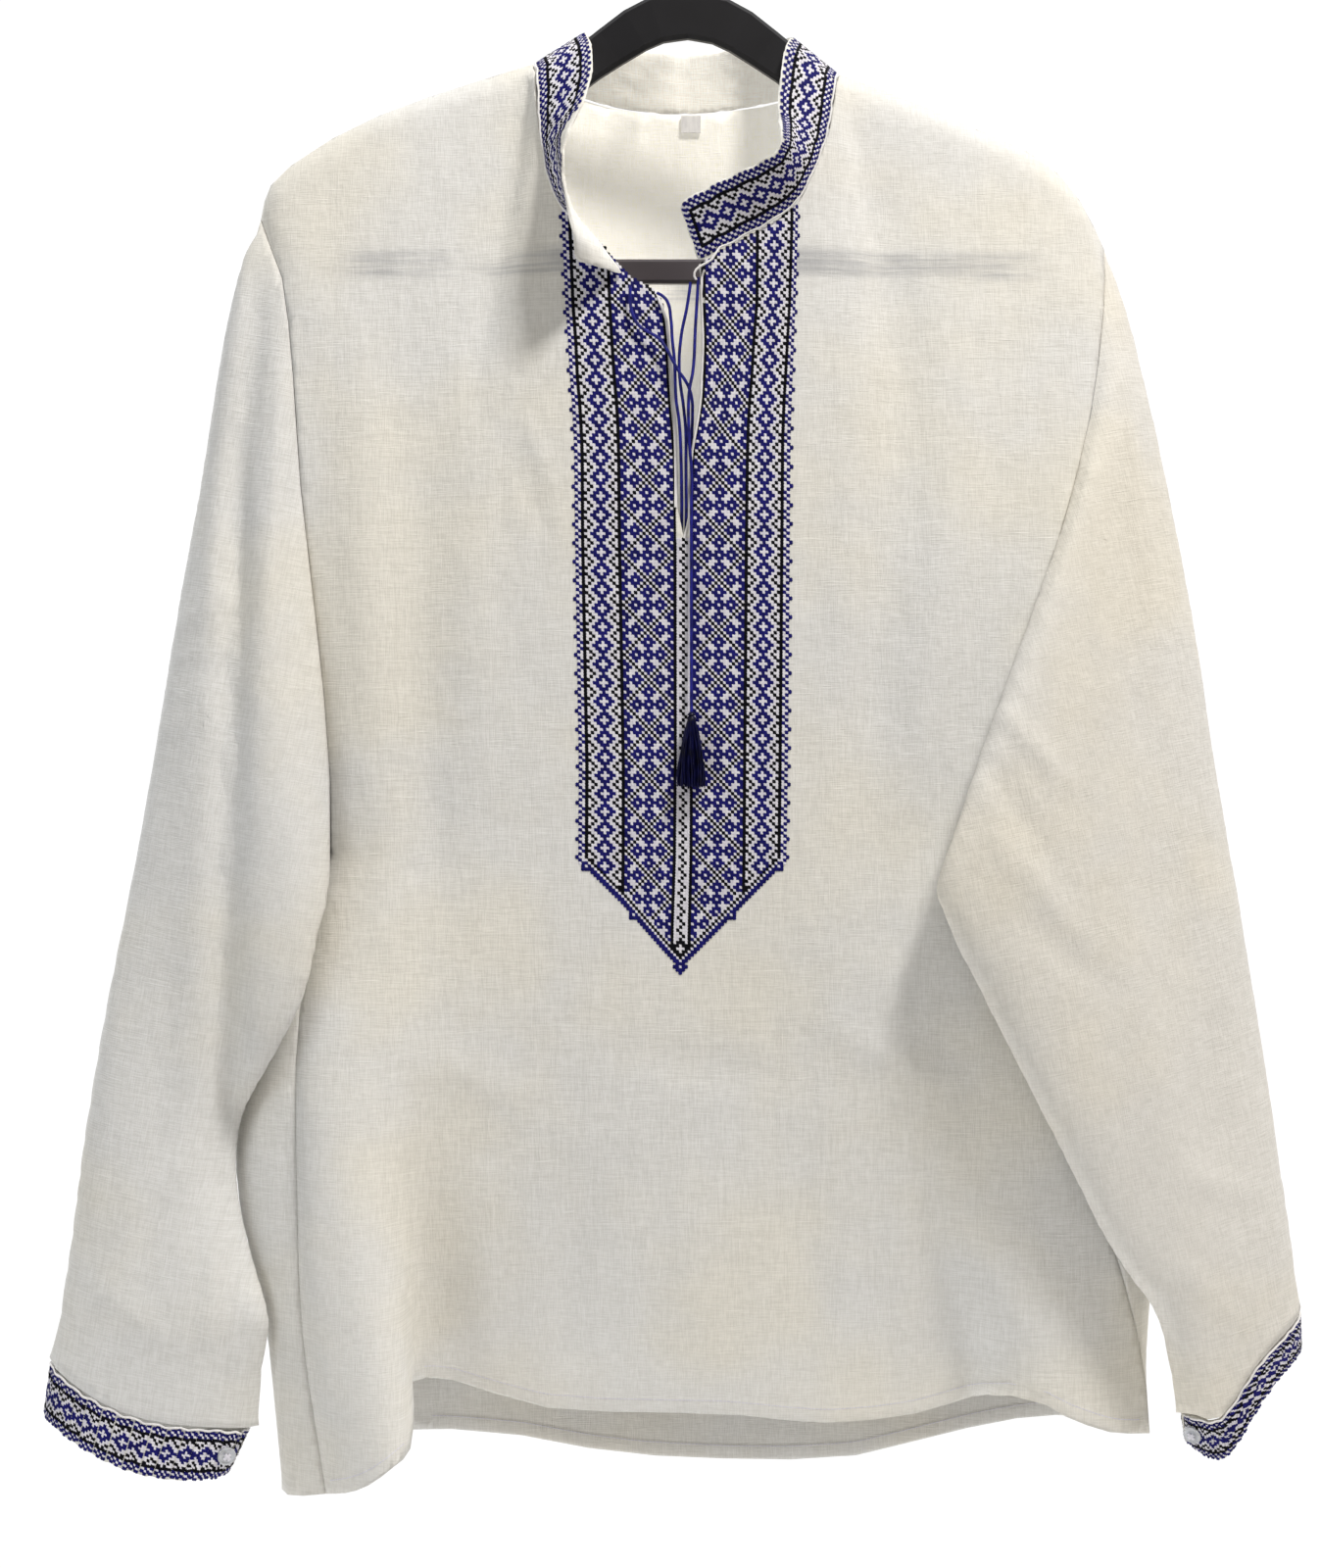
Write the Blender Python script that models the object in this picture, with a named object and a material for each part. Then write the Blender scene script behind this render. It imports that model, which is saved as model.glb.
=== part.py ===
"""Embroidered linen pullover shirt hanging on a flat plastic hanger.

The tables are in millimetres: X runs across, -Y is the front, +Z is up. The
origin is the point where the inside of the hook rests on a rail. "Left" and
"right" are as seen from the front. Every linen panel is a thin wall between
its seams: a row of a table is one point of a seam, in order along it.
"""
import math
import bpy
import bmesh
from mathutils import Matrix, Vector
from mathutils.bvhtree import BVHTree

MM = 0.001
LINEN = 1.2            # wall of one linen panel
BAND = 2.4             # wall of the doubled and stitched collar and cuffs
SEAM_RETREAT = 0.22    # how far each panel stops short of its seam line
COLLAR_HEIGHT = 33.0

SHOULDER_COLUMNS = 8
NECK_COLUMNS = 10      # along each half of the neckline
SLIT_ROWS = 8
ARMHOLE_ROWS = 12
SIDE_ROWS = 12
PANEL_ROWS = ARMHOLE_ROWS + SIDE_ROWS
# How far down the armhole each row is: the first one makes the rounded shoulder.
ROW_SHARES = (0, 0.014, 0.055, 0.115, 0.19, 0.27, 0.355, 0.445, 0.54, 0.645, 0.76, 0.88, 1)

# ------------------------------------------------------------------ seams
# columns: x, y, z
SHOULDER_LEFT = ((-231, 0, -193), (-228, 0, -180), (-220, 0, -168), (-192, 0, -149),
                 (-158, 0, -133), (-118, 2, -119), (-84, 3, -108))
SHOULDER_RIGHT = ((225, 0, -209), (217, 0, -192), (204, 0, -172), (183, 0, -156),
                  (148, 0, -141), (116, 1, -127), (82, 3, -114))
NECK_FRONT_LEFT = ((-84, 3, -108), (-83.5, -8, -112), (-82.5, -15, -122), (-82, -19, -131),
                   (-79, -24, -155), (-74, -28, -178), (-68, -30, -192), (-60, -31, -199),
                   (-51, -32, -207), (-39, -33, -221), (-27, -33, -234), (-16, -33, -238))
NECK_FRONT_RIGHT = ((82, 3, -114), (81, -8, -118), (79, -15, -129), (77, -19, -141),
                    (74, -23, -155), (67, -28, -172), (59, -31, -189), (47, -32, -200),
                    (27, -33, -211), (5, -34, -224))
NECK_BACK = ((-84, 3, -108), (-80, 18, -111), (-70, 35, -115), (-54, 46, -118),
             (-30, 51, -122), (-1, 52, -123), (28, 51, -121), (52, 46, -118),
             (68, 34, -116), (78, 18, -114), (82, 3, -114))
ARMHOLE_FRONT_LEFT = ((-231, 0, -193), (-224, -9, -211), (-216, -17, -233), (-210, -23, -284),
                      (-206, -26, -338), (-198, -27, -407), (-191, -25, -480), (-191, -18, -535))
ARMHOLE_BACK_LEFT = ((-231, 0, -193), (-227, 9, -211), (-221, 16, -235), (-217, 21, -284),
                     (-214, 23, -338), (-211, 22, -407), (-208, 18, -465), (-202, 4, -515),
                     (-191, -18, -535))
ARMHOLE_FRONT_RIGHT = ((225, 0, -209), (224, -9, -230), (221, -18, -254), (214, -28, -297),
                       (203, -36, -340), (192, -40, -379), (178, -42, -425), (164, -43, -470),
                       (150, -43, -515), (138, -42, -552))
ARMHOLE_BACK_RIGHT = ((225, 0, -209), (227, 9, -230), (228, 15, -254), (228, 21, -297),
                      (228, 24, -345), (227, 22, -400), (222, 12, -450), (210, -6, -497),
                      (184, -24, -534), (160, -35, -549), (138, -42, -552))
SIDE_LEFT = ((-191, -18, -535), (-202, -22, -585), (-208, -27, -640), (-207, -33, -710),
             (-203, -40, -788), (-190, -45, -870))
SIDE_RIGHT = ((138, -42, -552), (168, -41, -610), (196, -37, -665), (216, -31, -715),
              (235, -23, -775), (244, -17, -815), (247, -14, -846))
SLIT_LEFT = ((-16, -33, -238), (-12, -34, -246), (-10, -35, -258), (-8, -36, -278),
             (-6.5, -37, -300), (-5.6, -38, -330), (-5.5, -39, -356), (-2.5, -39, -369))
SLIT_RIGHT = ((5, -34, -224), (8, -35, -236), (7, -35, -252), (8, -35, -265),
              (7, -36, -289), (4, -37, -310), (1.7, -38, -326), (0.4, -38, -344),
              (0.4, -39, -357), (-2.5, -39, -369))
CENTRE_LINE = ((-2.5, -39, -369), (-4, -38, -480), (-5, -34, -600), (-6, -24, -720),
               (-7, -6, -837))

# Level courses of the panels: the row of the panel that each one is, then its
# points from seam to seam as x, y, z. Point by point they follow one thread of
# the cloth down. The front hem rolls forward into one deep fold by the left
# side seam and a slighter one by the right; both fade out towards the chest.
COURSES_FRONT_LEFT = (
    (8, (-200, -27, -393), (-185, -30, -390), (-166, -32, -387), (-146, -33, -384),
     (-126, -34, -381), (-105, -35, -378), (-82, -36, -375), (-58, -37, -372),
     (-31, -38, -370), (-2.5, -39, -369)),
    (12, (-191, -18, -535), (-182, -27, -538), (-165, -30, -541), (-147, -31, -543),
     (-128, -32, -545), (-108, -33, -547), (-85, -34, -548), (-60, -35, -549),
     (-33, -36, -550), (-4.5, -36, -551)),
    (18, (-208, -30, -695), (-201, -42, -696), (-187, -49, -696), (-171, -49, -695),
     (-157, -42, -693), (-146, -34, -691), (-132, -28, -690), (-104, -25, -692),
     (-62, -25, -695), (-6, -26, -698)),
    (24, (-190, -45, -870), (-178, -58, -866), (-166, -67, -860), (-152, -72, -849),
     (-144.5, -58, -843), (-146, -22, -830), (-149, 2, -822), (-128, 6, -822),
     (-76, 1, -836), (-7, -6, -837)),
)
COURSES_FRONT_RIGHT = (
    (8, (184, -41, -410), (170, -42, -406), (154, -42, -401), (136, -42, -396),
     (119, -41, -390), (96, -41, -384), (73, -40, -379), (48, -40, -374),
     (23, -39, -371), (-2.5, -39, -369)),
    (12, (138, -42, -552), (130, -44, -552), (120, -44, -552), (105, -43, -552),
     (90, -42, -552), (74, -41, -552), (57, -40, -551), (38, -39, -551),
     (18, -38, -551), (-4.5, -36, -551)),
    (18, (206, -34, -695), (192, -39, -697), (176, -40, -697), (158, -38, -697),
     (139, -35, -697), (117, -32, -697), (92, -30, -697), (64, -28, -697),
     (32, -27, -697), (-6, -26, -698)),
    (24, (247, -14, -846), (224, -24, -843), (199, -30, -833), (183, -28, -824),
     (167, -14, -826), (154, 2, -830), (122, -4, -838), (74, -8, -842),
     (30, -8, -838), (-7, -6, -837)),
)
COURSES_BACK = (
    (8, (-210, 22, -393), (-185, 28, -394), (-158, 33, -395), (-130, 38, -396),
     (-101, 42, -398), (-72, 45, -400), (-43, 47, -401), (-14, 48, -402),
     (15, 48, -404), (44, 47, -406), (73, 45, -408), (102, 42, -410),
     (131, 38, -412), (160, 34, -414), (192, 29, -416), (226, 21, -418)),
    (12, (-191, -18, -535), (-201, -7, -545), (-203, 10, -549), (-190, 26, -547),
     (-150, 36, -542), (-90, 44, -545), (-25, 48, -548), (40, 48, -550),
     (100, 45, -551), (150, 40, -552), (192, 30, -553), (218, 16, -557),
     (226, -2, -563), (213, -22, -570), (182, -34, -574), (138, -42, -552)),
    (18, (-208, -30, -695), (-230, -18, -696), (-247, 1, -697), (-236, 22, -698),
     (-186, 33, -699), (-114, 42, -701), (-40, 47, -703), (30, 48, -704),
     (95, 46, -703), (150, 41, -701), (200, 33, -699), (238, 19, -698),
     (253, 3, -697), (249, -12, -696), (231, -26, -695), (206, -34, -695)),
    (21, (-204, -39, -780), (-221, -25, -781), (-229, -2, -782), (-217, 20, -781),
     (-178, 35, -779), (-110, 43, -781), (-40, 48, -787), (28, 49, -790),
     (92, 46, -788), (150, 41, -780), (196, 33, -775), (231, 22, -773),
     (251, 7, -772), (249, -8, -772), (241, -19, -772), (234, -23, -771)),
    (24, (-190, -45, -870), (-210, -34, -874), (-218, -8, -875), (-208, 18, -868),
     (-170, 37, -857), (-105, 45, -860), (-40, 49, -872), (25, 50, -876),
     (90, 47, -874), (145, 41, -859), (190, 32, -848), (220, 24, -846),
     (237, 13, -845), (245, 4, -845), (248, -5, -846), (247, -14, -846)),
)

# Sleeve sections, from the armhole to the cuff: place along the sleeve, the
# fold over the arm (x, y, z), the underarm fold (x, y, z), and how far the
# front and the back layer stand off the line between them.
SLEEVE_LEFT = (
    (0.00, -231, 0, -193, -191, -18, -535, 20, 20),
    (0.05, -236, 0, -197, -190, -23, -548, 22, 20),
    (0.14, -247, 0, -230, -189, -34, -565, 24, 20),
    (0.26, -256, 0, -281, -194, -41, -585, 26, 20),
    (0.38, -264, 0, -334, -200, -42, -613, 28, 20),
    (0.50, -277, 0, -405, -215, -38, -641, 28, 22),
    (0.60, -285, 0, -456, -228, -28, -661, 28, 24),
    (0.70, -298, -2, -535, -239, -14, -682, 28, 24),
    (0.78, -313, -3, -607, -241, -10, -706, 27, 24),
    (0.86, -326, -4, -683, -235, -14, -738, 26, 23),
    (0.93, -333, -5, -738, -224, -22, -769, 25, 21),
    (0.97, -339, -5, -778, -218, -27, -792, 24, 19),
    (1.00, -344, -6, -807, -230, -13, -842, 22, 17),
)
SLEEVE_RIGHT = (
    (0.00, 225, 0, -209, 138, -42, -552, 20, 12),
    (0.05, 227, 0, -211, 124, -65, -556, 24, 10),
    (0.14, 238, 0, -240, 124, -70, -561, 30, 10),
    (0.26, 249, 0, -286, 135, -70, -586, 32, 12),
    (0.38, 261, 0, -342, 150, -68, -614, 32, 14),
    (0.50, 276, 0, -419, 166, -66, -644, 31, 16),
    (0.60, 285, 0, -482, 182, -62, -673, 30, 18),
    (0.70, 297, -1, -551, 199, -58, -706, 28, 20),
    (0.78, 307, -2, -615, 215, -52, -736, 26, 22),
    (0.86, 316, -3, -675, 232, -46, -762, 26, 22),
    (0.93, 323, -4, -723, 246, -40, -779, 25, 22),
    (0.97, 327, -5, -754, 252, -35, -803, 24, 20),
    (1.00, 330, -6, -780, 258, -30, -831, 22, 18),
)
# One deep crease runs down the front of each sleeve: x, z of its bottom line,
# its depth and its half width.
CREASE_LEFT = ((-231, -240, 0, 9), (-240, -302, 9, 9), (-242, -340, 12, 9), (-239, -392, 12, 9),
               (-241, -495, 13, 9), (-243, -597, 12, 9), (-245, -679, 8, 9), (-250, -740, 0, 9))
CREASE_RIGHT = ((232, -300, 0, 10), (236, -380, 4, 12), (240, -460, 5, 14), (246, -560, 4, 14),
                (256, -680, 0, 14))
SLEEVE_PLACES = (0, 0.05, 0.11, 0.17, 0.23, 0.29, 0.35, 0.41, 0.47, 0.53, 0.59, 0.65,
                 0.71, 0.77, 0.82, 0.87, 0.91, 0.95, 1.0)
# Lower edge of each cuff in the same terms: over fold, under fold, two depths.
CUFF_EDGE_LEFT = (-348, -6, -838, -243, -14, -869, 21, 15)
CUFF_EDGE_RIGHT = (331, -5, -802, 262, -20, -851, 21, 16)
# How the wrist end sags in front, at the cuff's upper and lower edge: by how
# much, its middle and its half width as shares of the way to the underarm fold.
SAG_LEFT = ((10.5, 0.41, 0.39), (9.5, 0.50, 0.38))
SAG_RIGHT = ((15.5, 0.68, 0.17), (21, 0.67, 0.20))
CUFF_ROWS = 3
CUFF_UNDERLAP = 3.1    # how far inside its outer end the inner end lies

# Collar band: share of the way round the neckline from the left end to the
# right end, and the direction in which the band stands off the seam. Its left
# end is turned outwards over the chest.
COLLAR_LEAN = (
    (0.000, -0.79, -0.60, 0.12),
    (0.035, -0.46, -0.88, 0.05),
    (0.070, -0.23, -0.97, 0.05),
    (0.093, -0.03, -0.93, 0.36),
    (0.114, 0.17, -0.90, 0.40),
    (0.145, 0.32, -0.90, 0.27),
    (0.190, 0.69, -0.71, 0.12),
    (0.240, 0.92, -0.20, 0.31),
    (0.293, 0.84, 0.00, 0.54),
    (0.350, 0.66, -0.30, 0.68),
    (0.400, 0.32, -0.45, 0.83),
    (0.450, 0.10, -0.15, 0.97),
    (0.500, 0.00, 0.05, 0.99),
    (0.550, -0.10, -0.10, 0.97),
    (0.606, -0.32, -0.45, 0.83),
    (0.660, -0.68, -0.30, 0.68),
    (0.710, -0.79, 0.00, 0.62),
    (0.740, -0.83, -0.30, 0.40),
    (0.768, -0.88, -0.42, 0.18),
    (0.797, -0.84, -0.52, 0.08),
    (0.838, -0.56, -0.73, 0.36),
    (0.875, -0.37, -0.70, 0.58),
    (0.905, -0.39, -0.54, 0.73),
    (0.950, -0.33, -0.38, 0.86),
    (1.000, -0.33, -0.25, 0.91),
)
COLLAR_ROWS = 3

# Hanger: one arm from the middle to its tip, as x, z of its middle and its
# height; then the trouser bar. It hangs a little lower on the right.
HANGER_ARM = ((0, -82, 25), (22, -86.5, 25), (53, -107, 21), (67, -119, 20.5),
              (84, -134, 20), (118, -146, 19), (153, -159, 18), (182, -173, 16),
              (196, -186, 14), (201, -199, 13), (201.5, -213, 13), (201.5, -228, 12))
HANGER_THICK = 8.0
HANGER_TILT = 0.014
HANGER_SHIFT = -1.0
BAR_END, BAR_MIDDLE, BAR_HEIGHT, BAR_THICK = 194.6, -221.3, 13.0, 7.0
HOOK_RADIUS = 20.0
HOOK_WIRE = 1.8

# Four runs of the tie cord: two from each corner of the neck. Three end in a
# tassel inside the shirt, the fourth in the tassel that hangs in front.
TIE_RADIUS = 0.85
TIES = {
    "tie_left_outer": (
        (-16.6, -36.9, -239.6), (-13.8, -37.9, -241.4), (-11.2, -38.6, -244.6),
        (-9.4, -39, -254), (-8.7, -39.4, -264.4), (-7.6, -39.6, -275.2),
        (-6.6, -40.2, -296.9), (-5.1, -40.6, -307.8), (-4, -41.3, -331), (-3.8, -41, -343.9),
        (-3.7, -39.2, -350.6), (-3.7, -36.5, -356.6), (-3.8, -34.4, -363),
        (-4.2, -33.3, -379), (-4.4, -31, -415.3)),
    "tie_right_inner": (
        (1, -36.4, -233.9), (-0.9, -37.5, -247), (-4, -38.3, -262.6), (-5, -38.9, -280.8),
        (-2.6, -40, -301.5), (-1.6, -40.6, -312.9), (-1.5, -41.3, -331),
        (-1.4, -41, -343.9), (-1.3, -39.2, -350.6), (-1.3, -36.5, -356.6),
        (-1.4, -34.4, -363), (-1.7, -33.3, -379), (-1.9, -31, -415.3)),
    "tie_left_inner": (
        (-30.8, -37.6, -236.2), (-30.8, -37.9, -244), (-29.3, -38.3, -251.8),
        (-26.2, -38.7, -257), (-21, -39.3, -260.7), (-15.9, -40.1, -263.9),
        (-12.3, -41.4, -268.8), (-8.7, -42.1, -275.6), (-5.2, -42.1, -281.8),
        (-2, -41.7, -286.3), (0.3, -40, -290.7), (1.7, -37.5, -296), (2, -33.5, -302.7),
        (1.6, -30.5, -316.7), (1.1, -29.5, -352.9), (0.8, -29.9, -380), (0.6, -31, -415.2)),
    "tie_right_outer": (
        (5.1, -37.1, -231.5), (3.5, -39.2, -257.6), (2, -42.7, -282.4), (0.5, -44.3, -290.3),
        (-0.2, -44.1, -299), (-0.1, -43.3, -310.2), (0.5, -42.8, -323.5),
        (1.3, -42.4, -331.2), (1.3, -42, -354.2), (1.3, -42, -395.3),
        (1.3, -42.6, -436.5), (1.3, -44, -460.4)),
}

# ------------------------------------------------------------------ curves
def spline(points, place):
    """Point of the smooth curve through the points; place runs from 0 to 1."""
    last = len(points) - 1
    scaled = min(max(place, 0.0), 1.0) * last
    index = min(int(scaled), last - 1)
    local = scaled - index
    before, start, end, after = (
        Vector(points[min(max(index + step, 0), last)]) for step in (-1, 0, 1, 2))
    if index == 0:
        before = start * 2 - end
    if index == last - 1:
        after = end * 2 - start
    return 0.5 * (2 * start + (end - before) * local
                  + (2 * before - 5 * start + 4 * end - after) * local ** 2
                  + (3 * start - before - 3 * end + after) * local ** 3)


def evenly(points, count, shares=None, fine=480):
    """Count + 1 points along the smooth curve, at equal distances or at the
    given shares of its length."""
    dense = [spline(points, step / fine) for step in range(fine + 1)]
    walked = [0.0]
    for first, second in zip(dense, dense[1:]):
        walked.append(walked[-1] + (second - first).length)
    placed = []
    index = 0
    for number in range(count + 1):
        target = walked[-1] * (shares[number] if shares else number / count)
        while index < fine - 1 and walked[index + 1] < target:
            index += 1
        span = walked[index + 1] - walked[index]
        share = (target - walked[index]) / span if span else 0.0
        placed.append(dense[index].lerp(dense[index + 1], min(share, 1.0)))
    return placed


def table_at(table, place):
    """Smoothly read all columns of a table whose first column is the place."""
    index = 0
    while index < len(table) - 2 and table[index + 1][0] < place:
        index += 1
    low, high = table[index], table[index + 1]
    before = table[max(index - 1, 0)]
    after = table[min(index + 2, len(table) - 1)]
    span = high[0] - low[0]
    t = min(max((place - low[0]) / span, 0.0), 1.0)
    values = []
    for column in range(1, len(low)):
        slope_low = (high[column] - before[column]) / max(high[0] - before[0], 1e-6) * span
        slope_high = (after[column] - low[column]) / max(after[0] - low[0], 1e-6) * span
        values.append((2 * t ** 3 - 3 * t ** 2 + 1) * low[column]
                      + (t ** 3 - 2 * t ** 2 + t) * slope_low
                      + (3 * t ** 2 - 2 * t ** 3) * high[column]
                      + (t ** 3 - t ** 2) * slope_high)
    return values


def smoothstep(low, high, value):
    t = min(max((value - low) / (high - low), 0.0), 1.0)
    return t * t * (3 - 2 * t)


def lofted(top, courses, start, end):
    """Rows of points from the top edge down through the courses.

    The first and last columns are drawn onto the side seams, and that shift
    fades out across the panel.
    """
    columns = len(top) - 1
    threads = []
    for column in range(columns + 1):
        thread = [(0, *top[column])]
        for row, *points in courses:
            thread.append((row, *spline(points, column / columns)))
        threads.append(thread)
    result = []
    for row in range(PANEL_ROWS + 1):
        place = SLIT_ROWS * ROW_SHARES[row] / ROW_SHARES[SLIT_ROWS] if row < SLIT_ROWS else row
        line = [Vector(table_at(thread, place)) for thread in threads]
        to_start, to_end = start[row] - line[0], end[row] - line[-1]
        for column, point in enumerate(line):
            u = column / columns
            line[column] = point + to_start * (1 - u) ** 3 + to_end * u ** 3
        result.append(line)
    return result


# ------------------------------------------------------------------ panels
def front_half(shoulder, neck, armhole, side, slit, courses):
    """One half of the front, from its side to the centre."""
    top = [spline(shoulder, column / SHOULDER_COLUMNS) for column in range(SHOULDER_COLUMNS)]
    top += evenly(neck, NECK_COLUMNS)
    outer = evenly(armhole, ARMHOLE_ROWS, ROW_SHARES)[:-1] + evenly(side, SIDE_ROWS)
    inner = evenly(slit, SLIT_ROWS)[:-1] + evenly(CENTRE_LINE, PANEL_ROWS - SLIT_ROWS)
    rows = lofted(top, courses, outer, inner)
    for row, line in enumerate(rows):
        for column, point in enumerate(line):
            point.y -= over_hanger(row, column / SHOULDER_COLUMNS)
    return rows


def back_panel():
    top = [spline(SHOULDER_LEFT, column / SHOULDER_COLUMNS) for column in range(SHOULDER_COLUMNS)]
    top += evenly(NECK_BACK, NECK_COLUMNS)
    top += [spline(SHOULDER_RIGHT, 1 - column / SHOULDER_COLUMNS)
            for column in range(1, SHOULDER_COLUMNS + 1)]
    left = evenly(ARMHOLE_BACK_LEFT, ARMHOLE_ROWS, ROW_SHARES)[:-1] + evenly(SIDE_LEFT, SIDE_ROWS)
    right = evenly(ARMHOLE_BACK_RIGHT, ARMHOLE_ROWS, ROW_SHARES)[:-1] + evenly(SIDE_RIGHT, SIDE_ROWS)
    rows = lofted(top, COURSES_BACK, left, right)
    for row, line in enumerate(rows):
        for column, point in enumerate(line):
            from_side = min(column, len(line) - 1 - column)
            point.y += over_hanger(row, from_side / SHOULDER_COLUMNS)
    return rows


def over_hanger(row, along):
    """How far a panel stands off where it comes down round the arm of the hanger."""
    v = ROW_SHARES[row] / ROW_SHARES[SLIT_ROWS] if row < SLIT_ROWS else 1
    across = math.sin(math.pi / 2 * min(along / 0.3, 1)) if along < 1.01 else 0
    return 7 * across * (1 - math.exp(-v / 0.008)) * (1 - v) ** 2


def sagged(sag, t):
    """How far the front of the wrist end sags at t, the way to the underarm fold."""
    depth, middle, width = sag
    return depth * math.exp(-((t - middle) / width) ** 2) * abs(math.sin(math.pi * t)) ** 0.6


def sleeve_loops(table, armhole_front, armhole_back, crease, fold, bow, sag, body):
    """Closed sections of a sleeve. Point 0 is the fold over the arm, the
    middle one the underarm fold; the front layer lies between them."""
    front = evenly(armhole_front, ARMHOLE_ROWS, ROW_SHARES)
    back = evenly(armhole_back, ARMHOLE_ROWS, ROW_SHARES)
    armhole = front + back[-2:0:-1]
    count = len(armhole)
    half = count // 2
    over_start = Vector(table[0][1:4])
    under_start = Vector(table[0][4:7])
    loops = []
    for place in SLEEVE_PLACES:
        values = table_at(table, place)
        over, under = Vector(values[0:3]), Vector(values[3:6])
        depth_front, depth_back = values[6:8]
        loop = []
        for index, point in enumerate(armhole):
            t = index / half if index <= half else (count - index) / half
            if index <= half:
                low = smoothstep(*fold, t)
                settled = 0.2 - 0.1 * (t ** 4 + (1 - t) ** 4)
            else:
                low = t ** 6
                settled = 0.22 + 0.38 * smoothstep(0.25, 0.6, t) * (1 - t ** 8)
            follow = point + (over - over_start) * (1 - low) + (under - under_start) * low
            own = 1.0 if index in (0, half) else smoothstep(0.04, settled, place)
            lens = lens_point(over, under, depth_front, depth_back, t, index <= half)
            if index <= half:
                lens.z -= sagged(sag[0], t) * smoothstep(0.8, 1.0, place)
            if index > half:
                out = Vector((under.z - over.z, 0, over.x - under.x)).normalized()
                bowed = smoothstep(0, 0.1, place) * (1 - smoothstep(0.3, 0.65, place))
                lens += out * math.copysign(bow, out.x * point.x) * bowed * math.sin(math.pi * t)
            loop.append(follow.lerp(lens, own))
        if place:
            for index in range(1, half):
                pressed(loop[index], crease)
            for index in range(half, count):
                lay_on(loop[index], body, under_start.z + 4)
            for index in range(1, half):
                room = math.sin(math.pi * index / half) ** 0.5
                limits = [loop[count - index].y - 5 * room]
                if index == half - 1:
                    limits.append(loop[half].y - 14 * room)
                loop[index].y = min(loop[index].y, *limits)
        loops.append(loop)
    return loops


def pressed(point, crease):
    """Push a point of the front layer back into the deep crease."""
    if not crease[-1][1] < point.z < crease[0][1]:
        return
    for high, low in zip(crease, crease[1:]):
        if low[1] <= point.z <= high[1]:
            share = (high[1] - point.z) / (high[1] - low[1])
            x, z, depth, width = (a + (b - a) * share for a, b in zip(high, low))
            point.y += depth * math.exp(-((point.x - x) / width) ** 2)
            return


def lay_on(point, body, highest):
    """Keep a point of a sleeve in front of the body of the shirt below the armpit."""
    clearance = 1.6
    if point.z > highest:
        return
    for offset in (-3, 0, 3):
        hit = body.ray_cast(Vector((point.x + offset, -400, point.z)), Vector((0, 1, 0)))[0]
        if hit is not None and hit.y - clearance < point.y:
            point.y = hit.y - clearance


def lens_point(over, under, depth_front, depth_back, t, front):
    """Point of a sleeve section: t runs from the fold over the arm to the
    fold under it, along the front or the back layer."""
    across = 0.5 * math.cos(math.pi * t) + 0.5 * (1 - 2 * t)
    point = (over + under) / 2 + (over - under) / 2 * across
    swell = math.sin(math.pi * min(max(t, 0), 1)) ** 0.62
    point.y += swell * (-depth_front if front else depth_back)
    return point


def cuff_rows(table, edge, sag, last_loop):
    """A cuff is one strip wound once round the wrist. Its outer end lies on
    the front near the fold under the arm, its inner end just beneath it."""
    half = ARMHOLE_ROWS
    turns = [step / half for step in range(half - 1, -half - 3, -1)] + [-1.27]
    top_ends = (last_loop[0], last_loop[half])
    rows = []
    for row in range(CUFF_ROWS + 1):
        share = row / CUFF_ROWS
        line = []
        for turn in turns:
            around = turn % 2
            front = around <= 1
            t = around if front else 2 - around
            top = lens_point(*top_ends, table[-1][7], table[-1][8], t, front)
            bottom = lens_point(Vector(edge[0:3]), Vector(edge[3:6]), edge[6], edge[7], t, front)
            if front:
                top.z -= sagged(sag[0], t)
                bottom.z -= sagged(sag[1], t)
            drop = (bottom - top).normalized() * 0.7
            point = (top + drop).lerp(bottom, share)
            middle = (sum(top_ends, Vector()) / 2).lerp(
                (Vector(edge[0:3]) + Vector(edge[3:6])) / 2, share)
            inward = Vector((middle.x - point.x, (middle.y - point.y) * 3, 0)).normalized()
            point += inward * CUFF_UNDERLAP * (1 - smoothstep(-1.05, -0.8, turn))
            line.append(point)
        rows.append(line)
    return rows


def collar_rows(seam, cloth):
    """The collar band stands off the neckline along the table of leans."""
    walked = [0.0]
    for first, second in zip(seam, seam[1:]):
        walked.append(walked[-1] + (second - first).length)
    stations = []
    for number, point in enumerate(seam):
        lean = Vector(table_at(COLLAR_LEAN, walked[number] / walked[-1])).normalized()
        normal = cloth.normal(point)
        before, after = seam[max(number - 1, 0)], seam[min(number + 1, len(seam) - 1)]
        outward = normal.cross(after - before).normalized()
        if outward.z + 0.4 * outward.dot(Vector((-point.x, 0, 0)).normalized()) < 0:
            outward = -outward
        hinge = 0.55 + 0.6 * abs(lean.dot(normal)) + 5.0 * max(0.0, -lean.dot(outward))
        stations.append((point - normal * LINEN / 2 + lean * hinge, lean))
    return [[base + lean * (COLLAR_HEIGHT * row / COLLAR_ROWS) for base, lean in stations]
            for row in range(COLLAR_ROWS + 1)]


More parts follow.
